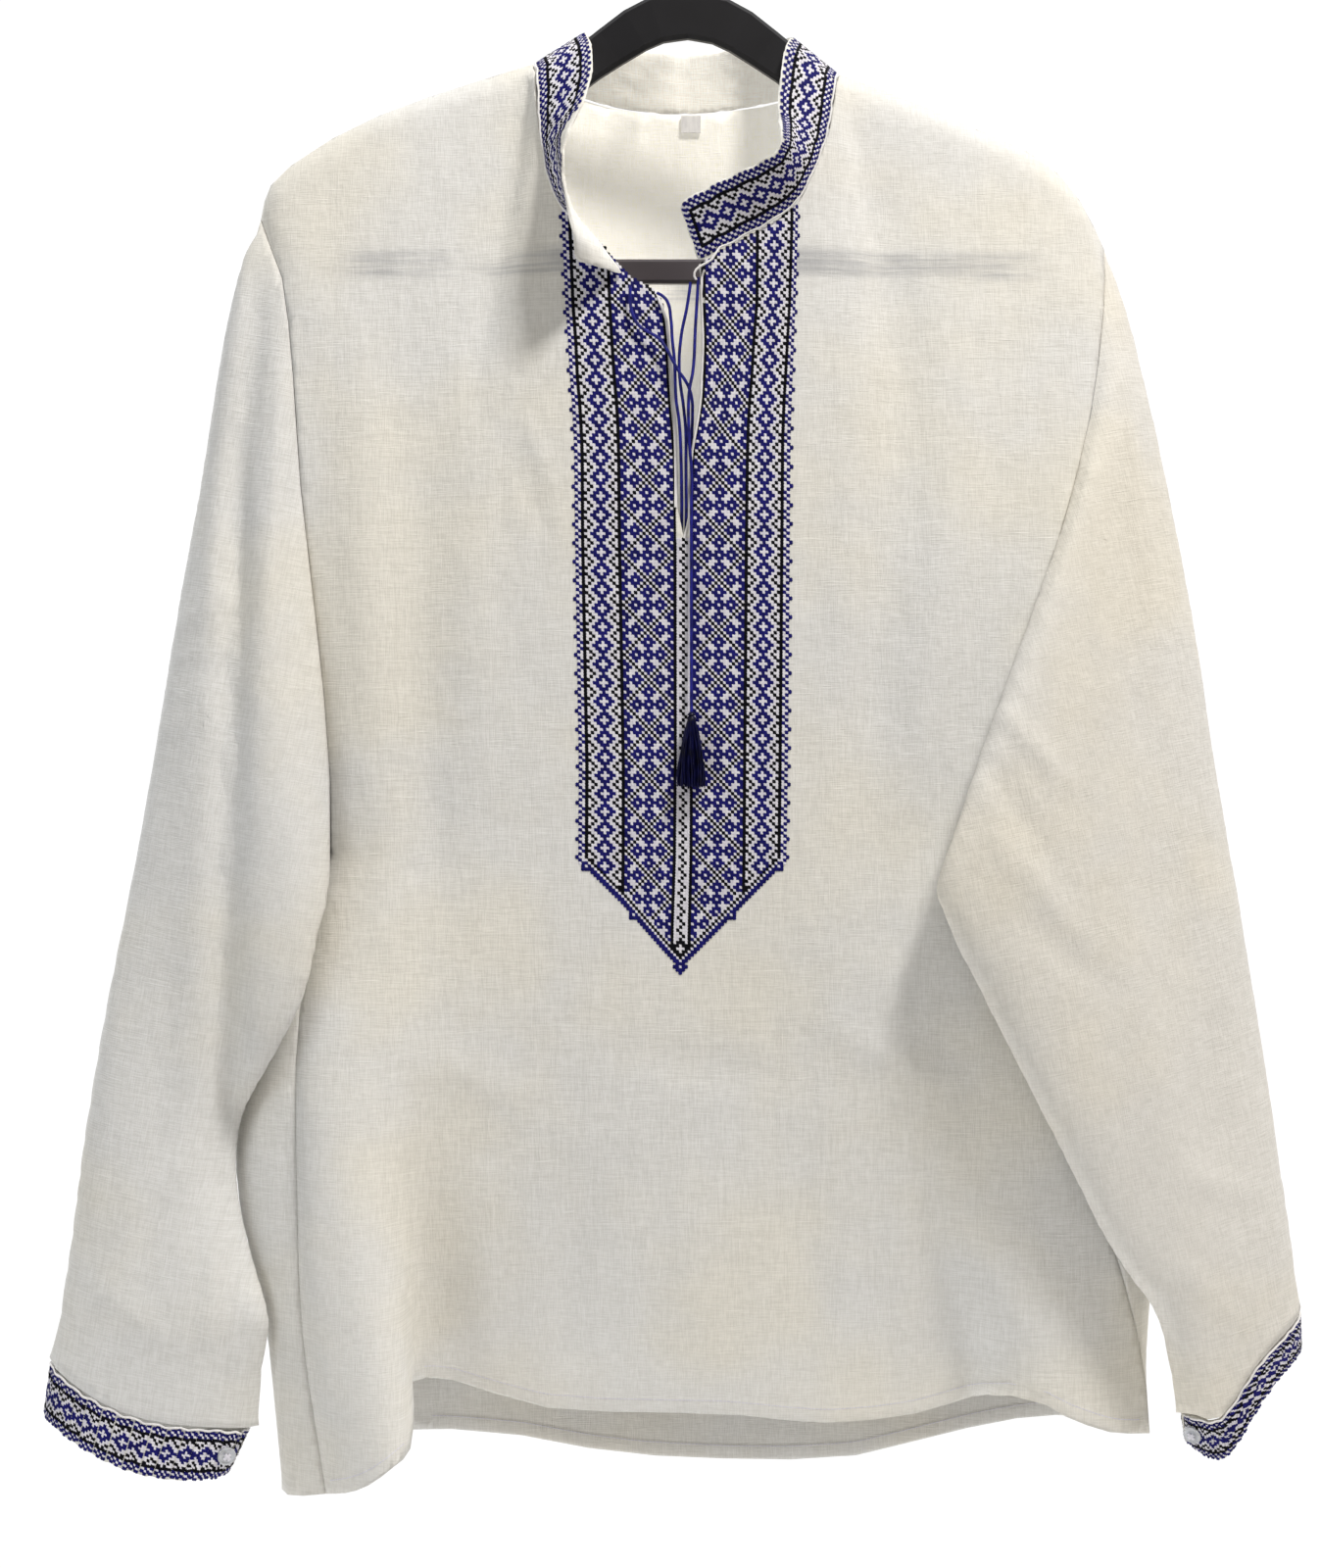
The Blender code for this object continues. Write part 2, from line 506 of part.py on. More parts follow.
# ------------------------------------------------------------------ walls
class Cloth:
    """Outer faces of all sewn panels, so that walls agree at their seams."""

    def __init__(self):
        self.normals = {}

    @staticmethod
    def key(point):
        return tuple(round(value * 50) for value in point)

    def add(self, grids, closed=False):
        own = {}
        for rows in grids:
            for face in grid_faces(rows, closed):
                corners = [rows[row][column] for row, column in face]
                normal = (corners[2] - corners[0]).cross(corners[3] - corners[1])
                for corner in corners:
                    spot = self.key(corner)
                    own[spot] = own.get(spot, Vector()) + normal
        for spot, normal in own.items():
            self.normals[spot] = self.normals.get(spot, Vector()) + normal.normalized()

    def normal(self, point):
        return self.normals[self.key(point)].normalized()


def grid_faces(rows, closed):
    width = len(rows[0])
    for row in range(len(rows) - 1):
        for column in range(width if closed else width - 1):
            after = (column + 1) % width
            yield (row, column), (row + 1, column), (row + 1, after), (row, after)


def wall_mesh(name, grids, normal_at, wall, closed=False, retreat=SEAM_RETREAT, middle=False):
    """A closed wall whose outer side runs through the points of the grids."""
    mesh = bmesh.new()
    corner_of = {}
    for rows in grids:
        for face in grid_faces(rows, closed):
            corners = []
            for row, column in face:
                point = rows[row][column]
                spot = Cloth.key(point)
                if spot not in corner_of:
                    corner_of[spot] = (mesh.verts.new(point), normal_at(point))
                if corner_of[spot][0] not in corners:
                    corners.append(corner_of[spot][0])
            mesh.faces.new(corners)
    mesh.normal_update()
    normals = {vert: upright(vert, normal) for vert, normal in corner_of.values()}
    shifts = {}
    for edge in mesh.edges:
        if edge.is_boundary:
            inward = edge.link_loops[0]
            face_normal = inward.face.normal
            direction = inward.link_loop_next.vert.co - inward.vert.co
            pull = face_normal.cross(direction).normalized()
            for vert in edge.verts:
                shifts.setdefault(vert, []).append(pull)
    for vert, pulls in shifts.items():
        flat = [pull - normals[vert] * normals[vert].dot(pull) for pull in pulls]
        total = sum((pull.normalized() for pull in flat), Vector())
        if total.length > 0.2:
            vert.co += total.normalized() * retreat / max(total.length / 2, 0.5)
    outer = list(mesh.verts)
    if middle:
        for vert in outer:
            vert.co += normals[vert] * wall / 2
    inner = {vert: mesh.verts.new(vert.co - normals[vert] * wall) for vert in outer}
    edges = [edge for edge in mesh.edges if edge.is_boundary]
    for face in list(mesh.faces):
        mesh.faces.new([inner[vert] for vert in reversed(face.verts)])
    for edge in edges:
        first, second = edge.link_loops[0].vert, edge.link_loops[0].link_loop_next.vert
        mesh.faces.new((second, first, inner[first], inner[second]))
    return finished(name, mesh)


def upright(vert, normal):
    """Lean a shared normal towards the wall's own faces until it leaves them all."""
    own = sum((face.normal for face in vert.link_faces), Vector()).normalized()
    for step in range(20):
        leaning = (normal + own * (0.1 * step)).normalized()
        if min(leaning.dot(face.normal) for face in vert.link_faces) > 0.12:
            return leaning
    return own


def finished(name, mesh):
    bmesh.ops.scale(mesh, vec=(MM, MM, MM), verts=mesh.verts)
    bmesh.ops.recalc_face_normals(mesh, faces=mesh.faces)
    data = bpy.data.meshes.new(name)
    mesh.to_mesh(data)
    mesh.free()
    data.shade_smooth()
    data.set_sharp_from_angle(angle=math.radians(50))
    piece = bpy.data.objects.new(name, data)
    bpy.context.scene.collection.objects.link(piece)
    return piece


def painted(piece, colour, roughness, metallic=0.0):
    material = bpy.data.materials.new(piece.name)
    material.use_nodes = True
    shader = material.node_tree.nodes["Principled BSDF"]
    shader.inputs["Base Color"].default_value = (*colour, 1)
    shader.inputs["Roughness"].default_value = roughness
    shader.inputs["Metallic"].default_value = metallic
    piece.data.materials.append(material)
    return piece


WHITE_LINEN = (0.86, 0.84, 0.79)
STITCHED = (0.25, 0.27, 0.52)
THREAD_BLUE = (0.03, 0.03, 0.30)
BLACK_PLASTIC = (0.02, 0.02, 0.022)
STEEL = (0.62, 0.62, 0.64)
CLEAR_PLASTIC = (0.80, 0.80, 0.80)


def sewn_garment():
    left = front_half(SHOULDER_LEFT, NECK_FRONT_LEFT, ARMHOLE_FRONT_LEFT, SIDE_LEFT,
                      SLIT_LEFT, COURSES_FRONT_LEFT)
    right = front_half(SHOULDER_RIGHT, NECK_FRONT_RIGHT, ARMHOLE_FRONT_RIGHT, SIDE_RIGHT,
                       SLIT_RIGHT, COURSES_FRONT_RIGHT)
    right = [line[::-1] for line in right]
    back = [line[::-1] for line in back_panel()]
    body = body_tree((left, right, back))
    sleeves = {
        "left": sleeve_loops(SLEEVE_LEFT, ARMHOLE_FRONT_LEFT, ARMHOLE_BACK_LEFT,
                             CREASE_LEFT, (0.1, 0.9), 14, SAG_LEFT, body),
        "right": sleeve_loops(SLEEVE_RIGHT, ARMHOLE_FRONT_RIGHT, ARMHOLE_BACK_RIGHT,
                              CREASE_RIGHT, (0.35, 1.0), 30, SAG_RIGHT, body),
    }
    cuffs = {
        "left": cuff_rows(SLEEVE_LEFT, CUFF_EDGE_LEFT, SAG_LEFT, sleeves["left"][-1]),
        "right": cuff_rows(SLEEVE_RIGHT, CUFF_EDGE_RIGHT, SAG_RIGHT, sleeves["right"][-1]),
    }
    sleeves["right"] = [loop[::-1] for loop in sleeves["right"]]
    cuffs["left"] = [line[::-1] for line in cuffs["left"]]
    cloth = Cloth()
    cloth.add((left, right))
    cloth.add((back,))
    for loops in sleeves.values():
        cloth.add((loops,), closed=True)
    painted(wall_mesh("front", (left, right), cloth.normal, LINEN), WHITE_LINEN, 0.9)
    painted(wall_mesh("back", (back,), cloth.normal, LINEN), WHITE_LINEN, 0.9)
    for side, loops in sleeves.items():
        painted(wall_mesh(f"sleeve_{side}", (loops,), cloth.normal, LINEN, closed=True),
                WHITE_LINEN, 0.9)
    for side, rows in cuffs.items():
        own = Cloth()
        own.add((rows,))
        painted(wall_mesh(f"cuff_{side}", (rows,), own.normal, BAND, retreat=0), STITCHED, 0.8)
        button(f"button_{side}", rows, own, side == "left")

    neck = NECK_COLUMNS
    seam = left[0][SHOULDER_COLUMNS:-1][::-1]
    seam += back[0][::-1][SHOULDER_COLUMNS + 1:SHOULDER_COLUMNS + neck]
    seam += right[0][:neck + 1][::-1]
    rows = collar_rows(seam, cloth)
    own = Cloth()
    own.add((rows,))
    painted(wall_mesh("collar", (rows,), own.normal, BAND, retreat=0, middle=True),
            STITCHED, 0.8)
    slit_binding("slit_binding_left", [line[-1] for line in left[:SLIT_ROWS]], -1, cloth)
    slit_binding("slit_binding_right", [line[0] for line in right[:SLIT_ROWS]], 1, cloth)


def body_tree(panels):
    points, faces = [], []
    for rows in panels:
        start = len(points)
        width = len(rows[0])
        points += [point for line in rows for point in line]
        faces += [[start + row * width + column for row, column in face]
                  for face in grid_faces(rows, False)]
    return BVHTree.FromPolygons(points, faces)


def slit_binding(name, edge, side, cloth):
    """White piping along one edge of the neck slit, on the face of the panel."""
    edge = [edge[0].lerp(edge[1], 0.12)] + edge[1:]
    mesh = bmesh.new()
    rings = []
    for point in edge:
        normal = cloth.normal(point) if point is not edge[0] else cloth.normal(edge[1])
        across = Vector((side, 0, 0))
        across = (across - normal * across.dot(normal)).normalized()
        rings.append([mesh.verts.new(point + across * width + normal * height)
                      for width, height in ((0.3, 0.35), (2.0, 0.35), (1.9, 1.1), (0.4, 1.1))])
    bridge(mesh, rings)
    painted(finished(name, mesh), WHITE_LINEN, 0.85)


def bridge(mesh, rings):
    """Skin a row of equal rings and close its two ends."""
    for ring, after in zip(rings, rings[1:]):
        for index in range(len(ring)):
            following = (index + 1) % len(ring)
            mesh.faces.new((ring[index], ring[following], after[following], after[index]))
    mesh.faces.new(rings[0][::-1])
    mesh.faces.new(rings[-1])


def button(name, rows, cloth, reversed_strip):
    """A flat round button with a shallow dish, on the outer end of a cuff."""
    line = [row[::-1] if reversed_strip else row for row in rows]
    middle = (line[1][0] + line[2][0] + line[1][1] + line[2][1]) / 4
    normal = sum((cloth.normal(line[row][column]) for row in (1, 2) for column in (0, 1)),
                 Vector()).normalized()
    mesh = bmesh.new()
    profile = ((0.4, 4.4), (1.0, 5.0), (1.9, 5.0), (2.4, 4.5), (2.0, 3.2))
    rings = [[mesh.verts.new((radius * math.cos(math.tau * step / 16),
                              radius * math.sin(math.tau * step / 16), height))
              for step in range(16)] for height, radius in profile]
    bridge(mesh, rings)
    turn = normal.to_track_quat("Z", "Y").to_matrix().to_4x4()
    bmesh.ops.transform(mesh, matrix=Matrix.Translation(middle) @ turn, verts=mesh.verts)
    painted(finished(name, mesh), CLEAR_PLASTIC, 0.25)


# ------------------------------------------------------------------ hanger
def hanger():
    mesh = bmesh.new()
    stations = [spline(HANGER_ARM, step / 27) for step in range(28)]
    stations = [Vector((-x, z, height)) for x, z, height in stations[:0:-1]] + stations
    bevel, thick = 2.2, HANGER_THICK / 2
    rings = []
    for number, (x, z, height) in enumerate(stations):
        before = stations[max(number - 1, 0)]
        after = stations[min(number + 1, len(stations) - 1)]
        along = Vector((after[0] - before[0], 0, after[1] - before[1])).normalized()
        if number in (0, len(stations) - 1):
            along = Vector((0, 0, 1 if number == 0 else -1))
        up = Vector((-along.z, 0, along.x))
        tilt = HANGER_TILT * x * (1 - smoothstep(165, 205, abs(x)))
        back = 2 * (1 - smoothstep(90, 150, abs(x))) * smoothstep(20, 50, abs(x))
        centre = Vector((x, back, z + HANGER_SHIFT * (1 - smoothstep(165, 205, abs(x))) - tilt))
        half = height / 2
        rings.append([mesh.verts.new(centre + up * a + Vector((0, b, 0))) for a, b in (
            (half, bevel - thick), (half, thick - bevel), (half - bevel, thick),
            (bevel - half, thick), (-half, thick - bevel), (-half, bevel - thick),
            (bevel - half, -thick), (half - bevel, -thick))])
    bridge(mesh, rings)
    painted(finished("hanger", mesh), BLACK_PLASTIC, 0.4)

    mesh = bmesh.new()
    rings = []
    for x in (-BAR_END, 0, BAR_END):
        rings.append([mesh.verts.new((x, b, BAR_MIDDLE + a)) for a, b in (
            (BAR_HEIGHT / 2, 1.6 - BAR_THICK / 2), (BAR_HEIGHT / 2, BAR_THICK / 2 - 1.6),
            (BAR_HEIGHT / 2 - 1.6, BAR_THICK / 2), (1.6 - BAR_HEIGHT / 2, BAR_THICK / 2),
            (-BAR_HEIGHT / 2, BAR_THICK / 2 - 1.6), (-BAR_HEIGHT / 2, 1.6 - BAR_THICK / 2),
            (1.6 - BAR_HEIGHT / 2, -BAR_THICK / 2), (BAR_HEIGHT / 2 - 1.6, -BAR_THICK / 2))])
    bridge(mesh, rings)
    painted(finished("hanger_bar", mesh), BLACK_PLASTIC, 0.4)


def hook():
    centre = Vector((0, 0, HOOK_WIRE - HOOK_RADIUS))
    path = [Vector((0, 0, z)) for z in (-70.2, -63, -56, -50)]
    path += [Vector((x, 0, z)) for x, z in ((3, -44), (7.5, -40), (12, -36), (16, -31),
                                            (18.7, -25.5))]
    path += [centre + Vector((math.cos(a), 0, math.sin(a))) * HOOK_RADIUS
             for a in (math.pi * step / 18 for step in range(0, 19))]
    path += [Vector((-19.4, 0, -23.5))]
    tube("hook", path, HOOK_WIRE, 8, STEEL, 0.3, 1.0)


def tube(name, path, radius, sides, colour, roughness, metallic=0.0):
    mesh = bmesh.new()
    rings = []
    turned = None
    for number, point in enumerate(path):
        along = (path[min(number + 1, len(path) - 1)] - path[max(number - 1, 0)]).normalized()
        if turned is None:
            turned = along.orthogonal().normalized()
        turned = (turned - along * turned.dot(along)).normalized()
        side = along.cross(turned)
        rings.append([mesh.verts.new(point + radius * (
            turned * math.cos(math.tau * step / sides) + side * math.sin(math.tau * step / sides)))
            for step in range(sides)])
    bridge(mesh, rings)
    return painted(finished(name, mesh), colour, roughness, metallic)


# ------------------------------------------------------------------ ties
def tassel(name, top, strands, spread, length, seed):
    """A wrapped head whose underside runs out into separate strands."""
    mesh = bmesh.new()
    bmesh.ops.create_grid(mesh, x_segments=strands, y_segments=strands, size=2.3)
    for vert in mesh.verts:
        longest = max(abs(vert.co.x), abs(vert.co.y))
        if vert.co.xy.length:
            vert.co *= longest / vert.co.length
    under = list(mesh.faces)
    ring = bmesh.ops.extrude_edge_only(mesh, edges=[edge for edge in mesh.edges
                                                    if edge.is_boundary])
    for height, scale in ((2.0, 1.05), (2.0, 1.0), (1.6, 0.55)):
        verts = [item for item in ring["geom"] if isinstance(item, bmesh.types.BMVert)]
        for vert in verts:
            vert.co = Vector((vert.co.x * scale, vert.co.y * scale, vert.co.z + height))
        edges = [item for item in ring["geom"] if isinstance(item, bmesh.types.BMEdge)]
        if height != 1.6:
            ring = bmesh.ops.extrude_edge_only(mesh, edges=edges)
    bmesh.ops.holes_fill(mesh, edges=edges, sides=0)
    bmesh.ops.inset_individual(mesh, faces=under, thickness=0.1)
    for step in (0.35, 1.0):
        ends = bmesh.ops.extrude_discrete_faces(mesh, faces=under)["faces"]
        for number, face in enumerate(ends):
            wander = math.sin(seed + number * 12.9898) * 43758.5453
            wander -= math.floor(wander)
            drop = length * (0.88 + 0.12 * wander)
            middle = face.calc_center_median()
            if step == 1.0:
                outward = Vector((middle.x * spread[0], middle.y * spread[1], 0))
                share = 0.65
            else:
                outward = Vector((middle.x * spread[0] * 0.7, middle.y * spread[1] * 0.7, 0))
                share = 0.35
            for vert in face.verts:
                vert.co += outward + Vector((0, 0, -drop * share))
        under = ends
    bmesh.ops.translate(mesh, vec=Vector(top) - Vector((0, 0, 5.6)), verts=mesh.verts)
    painted(finished(name, mesh), THREAD_BLUE, 0.5)


def ties():
    for name, path in TIES.items():
        length = sum((Vector(b) - Vector(a)).length for a, b in zip(path, path[1:]))
        points = evenly(path, max(30, round(length / 4.8)))
        curve = bpy.data.curves.new(name, "CURVE")
        curve.dimensions = "3D"
        curve.bevel_depth = TIE_RADIUS * MM
        curve.bevel_resolution = 2
        curve.use_fill_caps = True
        run = curve.splines.new("POLY")
        run.points.add(len(points) - 1)
        for place, point in zip(run.points, points):
            place.co = (*(point * MM), 1)
        cord = bpy.data.objects.new(name, curve)
        bpy.context.scene.collection.objects.link(cord)
        painted(cord, THREAD_BLUE, 0.6)
    tassel("tassel_outer", (1.3, -44, -460.8), 6, (0.62, 0.35), 38, 1.0)
    tassel("tassel_inner", (-1.9, -30.9, -415.8), 4, (0.45, 0.3), 36, 4.0)


def clear_scene():
    for thing in list(bpy.data.objects):
        bpy.data.objects.remove(thing, do_unlink=True)


def neck_loop():
    mesh = bmesh.new()
    bmesh.ops.create_cube(mesh, size=1)
    bmesh.ops.scale(mesh, vec=(11, 1.2, 9.5), verts=mesh.verts)
    bmesh.ops.translate(mesh, vec=(2.2, 49.3, -129), verts=mesh.verts)
    painted(finished("neck_loop", mesh), WHITE_LINEN, 0.8)


clear_scene()
sewn_garment()
neck_loop()
hanger()
hook()
ties()
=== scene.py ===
"""Looks of a linen shirt with cross stitch on the chest, collar and cuffs, on its hanger."""
import math

import bmesh
import bpy
import numpy as np
from mathutils import Matrix, Vector, noise
from mathutils.bvhtree import BVHTree


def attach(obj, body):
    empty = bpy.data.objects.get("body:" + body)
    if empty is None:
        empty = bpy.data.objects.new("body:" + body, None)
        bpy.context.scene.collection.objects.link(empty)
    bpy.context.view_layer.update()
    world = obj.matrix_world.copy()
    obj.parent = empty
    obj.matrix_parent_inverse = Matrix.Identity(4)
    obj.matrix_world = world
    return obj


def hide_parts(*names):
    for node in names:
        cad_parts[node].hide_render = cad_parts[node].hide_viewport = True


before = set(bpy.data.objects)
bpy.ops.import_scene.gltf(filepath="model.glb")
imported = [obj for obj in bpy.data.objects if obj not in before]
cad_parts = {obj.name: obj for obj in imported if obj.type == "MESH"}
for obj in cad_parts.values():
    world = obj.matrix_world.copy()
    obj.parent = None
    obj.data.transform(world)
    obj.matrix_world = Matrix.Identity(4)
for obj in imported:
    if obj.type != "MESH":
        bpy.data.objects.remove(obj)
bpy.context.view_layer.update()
MM = 0.001

# ---------------------------------------------------------------- camera and light
# The shirt hangs at eye height in front of a level camera. A warm lamp high on the
# right throws the right sleeve's soft shadow on the body; the rest is fill.
VIEW_DISTANCE = 1400 * MM
VIEW_CENTRE = (-15.4 * MM, -498.2 * MM)
VIEW_WIDTH = 713.4 * MM

camera = bpy.data.objects.new("camera", bpy.data.cameras.new("camera"))
camera.data.sensor_fit = "HORIZONTAL"
camera.data.lens = camera.data.sensor_width * VIEW_DISTANCE / VIEW_WIDTH
camera.location = (VIEW_CENTRE[0], -VIEW_DISTANCE, VIEW_CENTRE[1])
camera.rotation_euler = (math.pi / 2, 0, 0)
bpy.context.scene.collection.objects.link(camera)
bpy.context.scene.camera = camera


def lamp(name, place, size, power, colour=(1, 1, 1)):
    light = bpy.data.objects.new(name, bpy.data.lights.new(name, "AREA"))
    light.data.size = size
    light.data.energy = power
    light.data.color = colour
    light.location = place
    light.rotation_euler = (Vector((0, 0, -0.5)) - Vector(place)).to_track_quat(
        "-Z", "Y").to_euler()
    bpy.context.scene.collection.objects.link(light)


lamp("key", (0.9, -1.2, 1.9), 0.4, 71, (1.0, 0.97, 0.925))
lamp("window", (-2.2, -1.6, 0.3), 1.5, 15, (0.84, 0.92, 1.0))
lamp("back_fill", (-1.4, 2.2, 0.8), 1.0, 22)
world = bpy.data.worlds.new("studio")
world.use_nodes = True
air = world.node_tree
facing = air.nodes.new("ShaderNodeSeparateXYZ")
air.links.new(air.nodes.new("ShaderNodeTexCoord").outputs["Generated"], facing.inputs[0])
share = air.nodes.new("ShaderNodeMapRange")
share.interpolation_type = "SMOOTHSTEP"
share.inputs["From Min"].default_value = -0.35
share.inputs["From Max"].default_value = 0.45
air.links.new(facing.outputs["Y"], share.inputs["Value"])
walls = air.nodes.new("ShaderNodeMix")
walls.data_type = "RGBA"
walls.inputs[6].default_value = (0.25, 0.225, 0.19, 1)
walls.inputs[7].default_value = (1.06, 1.06, 1.06, 1)
air.links.new(share.outputs["Result"], walls.inputs["Factor"])
air.links.new(walls.outputs[2], air.nodes["Background"].inputs["Color"])
bpy.context.scene.world = world
bpy.context.scene.view_settings.view_transform = "Standard"


# ---------------------------------------------------------------- shader arithmetic
# Numbers and colours that vary over a surface are written as expressions.
class Tap:
    """One output socket of a material, with the arithmetic that is used on it."""

    def __init__(self, tree, socket):
        self.tree, self.socket = tree, socket

    def node(self, kind, output=0, settings=(), **values):
        made = self.tree.nodes.new(kind)
        for key, value in dict(settings).items():
            setattr(made, key, value)
        for key, value in values.items():
            socket = made.inputs[int(key[1:])] if key[1:].isdigit() else made.inputs[
                key.replace("_", " ")]
            if isinstance(value, Tap):
                self.tree.links.new(value.socket, socket)
            else:
                socket.default_value = value
        return Tap(self.tree, made.outputs[output])

    def maths(self, operation, first, second):
        return self.node("ShaderNodeMath", 0, {"operation": operation}, i0=first, i1=second)

    def __add__(self, other):
        return self.maths("ADD", self, other)

    def __sub__(self, other):
        return self.maths("SUBTRACT", self, other)

    def __rsub__(self, other):
        return self.maths("SUBTRACT", other, self)

    def __mul__(self, other):
        return self.maths("MULTIPLY", self, other)

    def __truediv__(self, other):
        return self.maths("DIVIDE", self, other)

    __radd__, __rmul__ = __add__, __mul__

    def absolute(self):
        return self.maths("ABSOLUTE", self, 0.0)

    def ramped(self, low, high):
        """0 below low, 1 above high, smooth between."""
        return self.node("ShaderNodeMapRange", 0, {"interpolation_type": "SMOOTHSTEP"},
                         i0=self, i1=low, i2=high, i3=0.0, i4=1.0)

    def between(self, first, second):
        """Mix of two colours by this number."""
        return self.node("ShaderNodeMix", 2, {"data_type": "RGBA"}, i0=self, i6=first, i7=second)

    def noise(self, scale, detail=2.0, stretch=(1, 1, 1)):
        """Noise on this vector; scale is per metre."""
        place = self.node("ShaderNodeMapping", 0, {}, i0=self, i3=stretch)
        return self.node("ShaderNodeTexNoise", 0, {}, i0=place, i2=scale, i3=detail)

    def streaks(self, across, along, turn=0.0, detail=1.0):
        """Noise in streaks that run up the cloth, across and along in mm; turn
        leans them in the plane of the front."""
        place = self.node("ShaderNodeMapping", 0, {"vector_type": "TEXTURE"}, i0=self,
                          i2=(0, turn, 0), i3=(across * MM, 60 * MM, along * MM))
        return self.node("ShaderNodeTexNoise", 0, {}, i0=place, i2=1.0, i3=detail)


def finish(name, roughness, metallic=0.0, **constants):
    """A material with its Principled shader and the object's coordinates."""
    made = bpy.data.materials.new(name)
    made.use_nodes = True
    shader = made.node_tree.nodes["Principled BSDF"]
    shader.inputs["Roughness"].default_value = roughness
    shader.inputs["Metallic"].default_value = metallic
    for key, value in constants.items():
        shader.inputs[key.replace("_", " ")].default_value = value
    place = Tap(made.node_tree, made.node_tree.nodes.new("ShaderNodeTexCoord").outputs["Object"])
    return made, shader, place


def wire(made, shader, colour=None, height=None, bump=0.3, depth=0.0005):
    tree = made.node_tree
    if colour is not None:
        tree.links.new(colour.socket, shader.inputs["Base Color"])
    if height is not None:
        bumped = height.node("ShaderNodeBump", 0, {}, Strength=bump, Distance=depth,
                             Height=height)
        tree.links.new(bumped.socket, shader.inputs["Normal"])
    return made


def shown(name, mesh, material, smooth_angle=50):
    """Make a finished piece of a bmesh and fix it to the body."""
    data = bpy.data.meshes.new(name)
    mesh.to_mesh(data)
    mesh.free()
    data.shade_smooth()
    data.set_sharp_from_angle(angle=math.radians(smooth_angle))
    piece = bpy.data.objects.new(name, data)
    bpy.context.scene.collection.objects.link(piece)
    data.materials.append(material)
    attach(piece, "root")
    return piece


# ---------------------------------------------------------------- ties and tassels
# Four ends of round cotton cord leave the two sides of the neck slit. Three hang
# inside the shirt and meet in one tassel; the longest one carries its own.
TIE_DIAMETER = 1.7 * MM
# name: points as x, y, z in mm
TIES = {
    "tie_left_outer": (
        (-16.6, -36.9, -239.6), (-13.8, -37.9, -241.4), (-11.2, -38.6, -244.6),
        (-9.4, -39, -254), (-8.7, -39.4, -264.4), (-7.6, -39.6, -275.2),
        (-6.6, -40.2, -296.9), (-5.1, -40.6, -307.8), (-4, -41.3, -331), (-3.8, -41, -343.9),
        (-3.7, -39.2, -350.6), (-3.7, -36.5, -356.6), (-3.8, -34.4, -363),
        (-4.2, -33.3, -379), (-4.4, -31, -415.3)),
    "tie_right_inner": (
        (1, -36.4, -233.9), (-0.9, -37.5, -247), (-4, -38.3, -262.6), (-5, -38.9, -280.8),
        (-2.6, -40, -301.5), (-1.6, -40.6, -312.9), (-1.5, -41.3, -331),
        (-1.4, -41, -343.9), (-1.3, -39.2, -350.6), (-1.3, -36.5, -356.6),
        (-1.4, -34.4, -363), (-1.7, -33.3, -379), (-1.9, -31, -415.3)),
    "tie_left_inner": (
        (-30.8, -37.6, -236.2), (-30.8, -37.9, -244), (-29.3, -38.3, -251.8),
        (-26.2, -38.7, -257), (-21, -39.3, -260.7), (-15.9, -40.1, -263.9),
        (-12.3, -41.4, -268.8), (-8.7, -42.1, -275.6), (-5.2, -42.1, -281.8),
        (-2, -41.7, -286.3), (0.3, -40, -290.7), (1.7, -37.5, -296), (2, -33.5, -302.7),
        (1.6, -30.5, -316.7), (1.1, -29.5, -352.9), (0.8, -29.9, -380), (0.6, -31, -415.2)),
    "tie_right_outer": (
        (5.1, -37.1, -231.5), (3.5, -39.2, -257.6), (2, -42.7, -282.4), (0.5, -44.3, -290.3),
        (-0.2, -44.1, -299), (-0.1, -43.3, -310.2), (0.5, -42.8, -323.5),
        (1.3, -42.4, -331.2), (1.3, -42, -354.2), (1.3, -42, -395.3),
        (1.3, -42.6, -436.5), (1.3, -44, -460.4)),
}


def thread_finish(name, dark, light, roughness=0.55, twist=900, gloss=0.22):
    made, shader, place = finish(name, roughness, Specular_IOR_Level=gloss)
    strands = place.noise(twist, 3, (1, 1, 0.25))
    worn = place.noise(140)
    colour = (strands * 0.6 + worn * 0.4).ramped(0.3, 0.7).between(dark, light)
    return wire(made, shader, colour, strands, 0.35, 0.0003)


blue_cord = thread_finish("blue_cord", (0.004, 0.004, 0.060, 1), (0.020, 0.022, 0.30, 1))
night_silk = thread_finish("night_silk", (0.001, 0.001, 0.008, 1), (0.004, 0.005, 0.060, 1), 0.4)


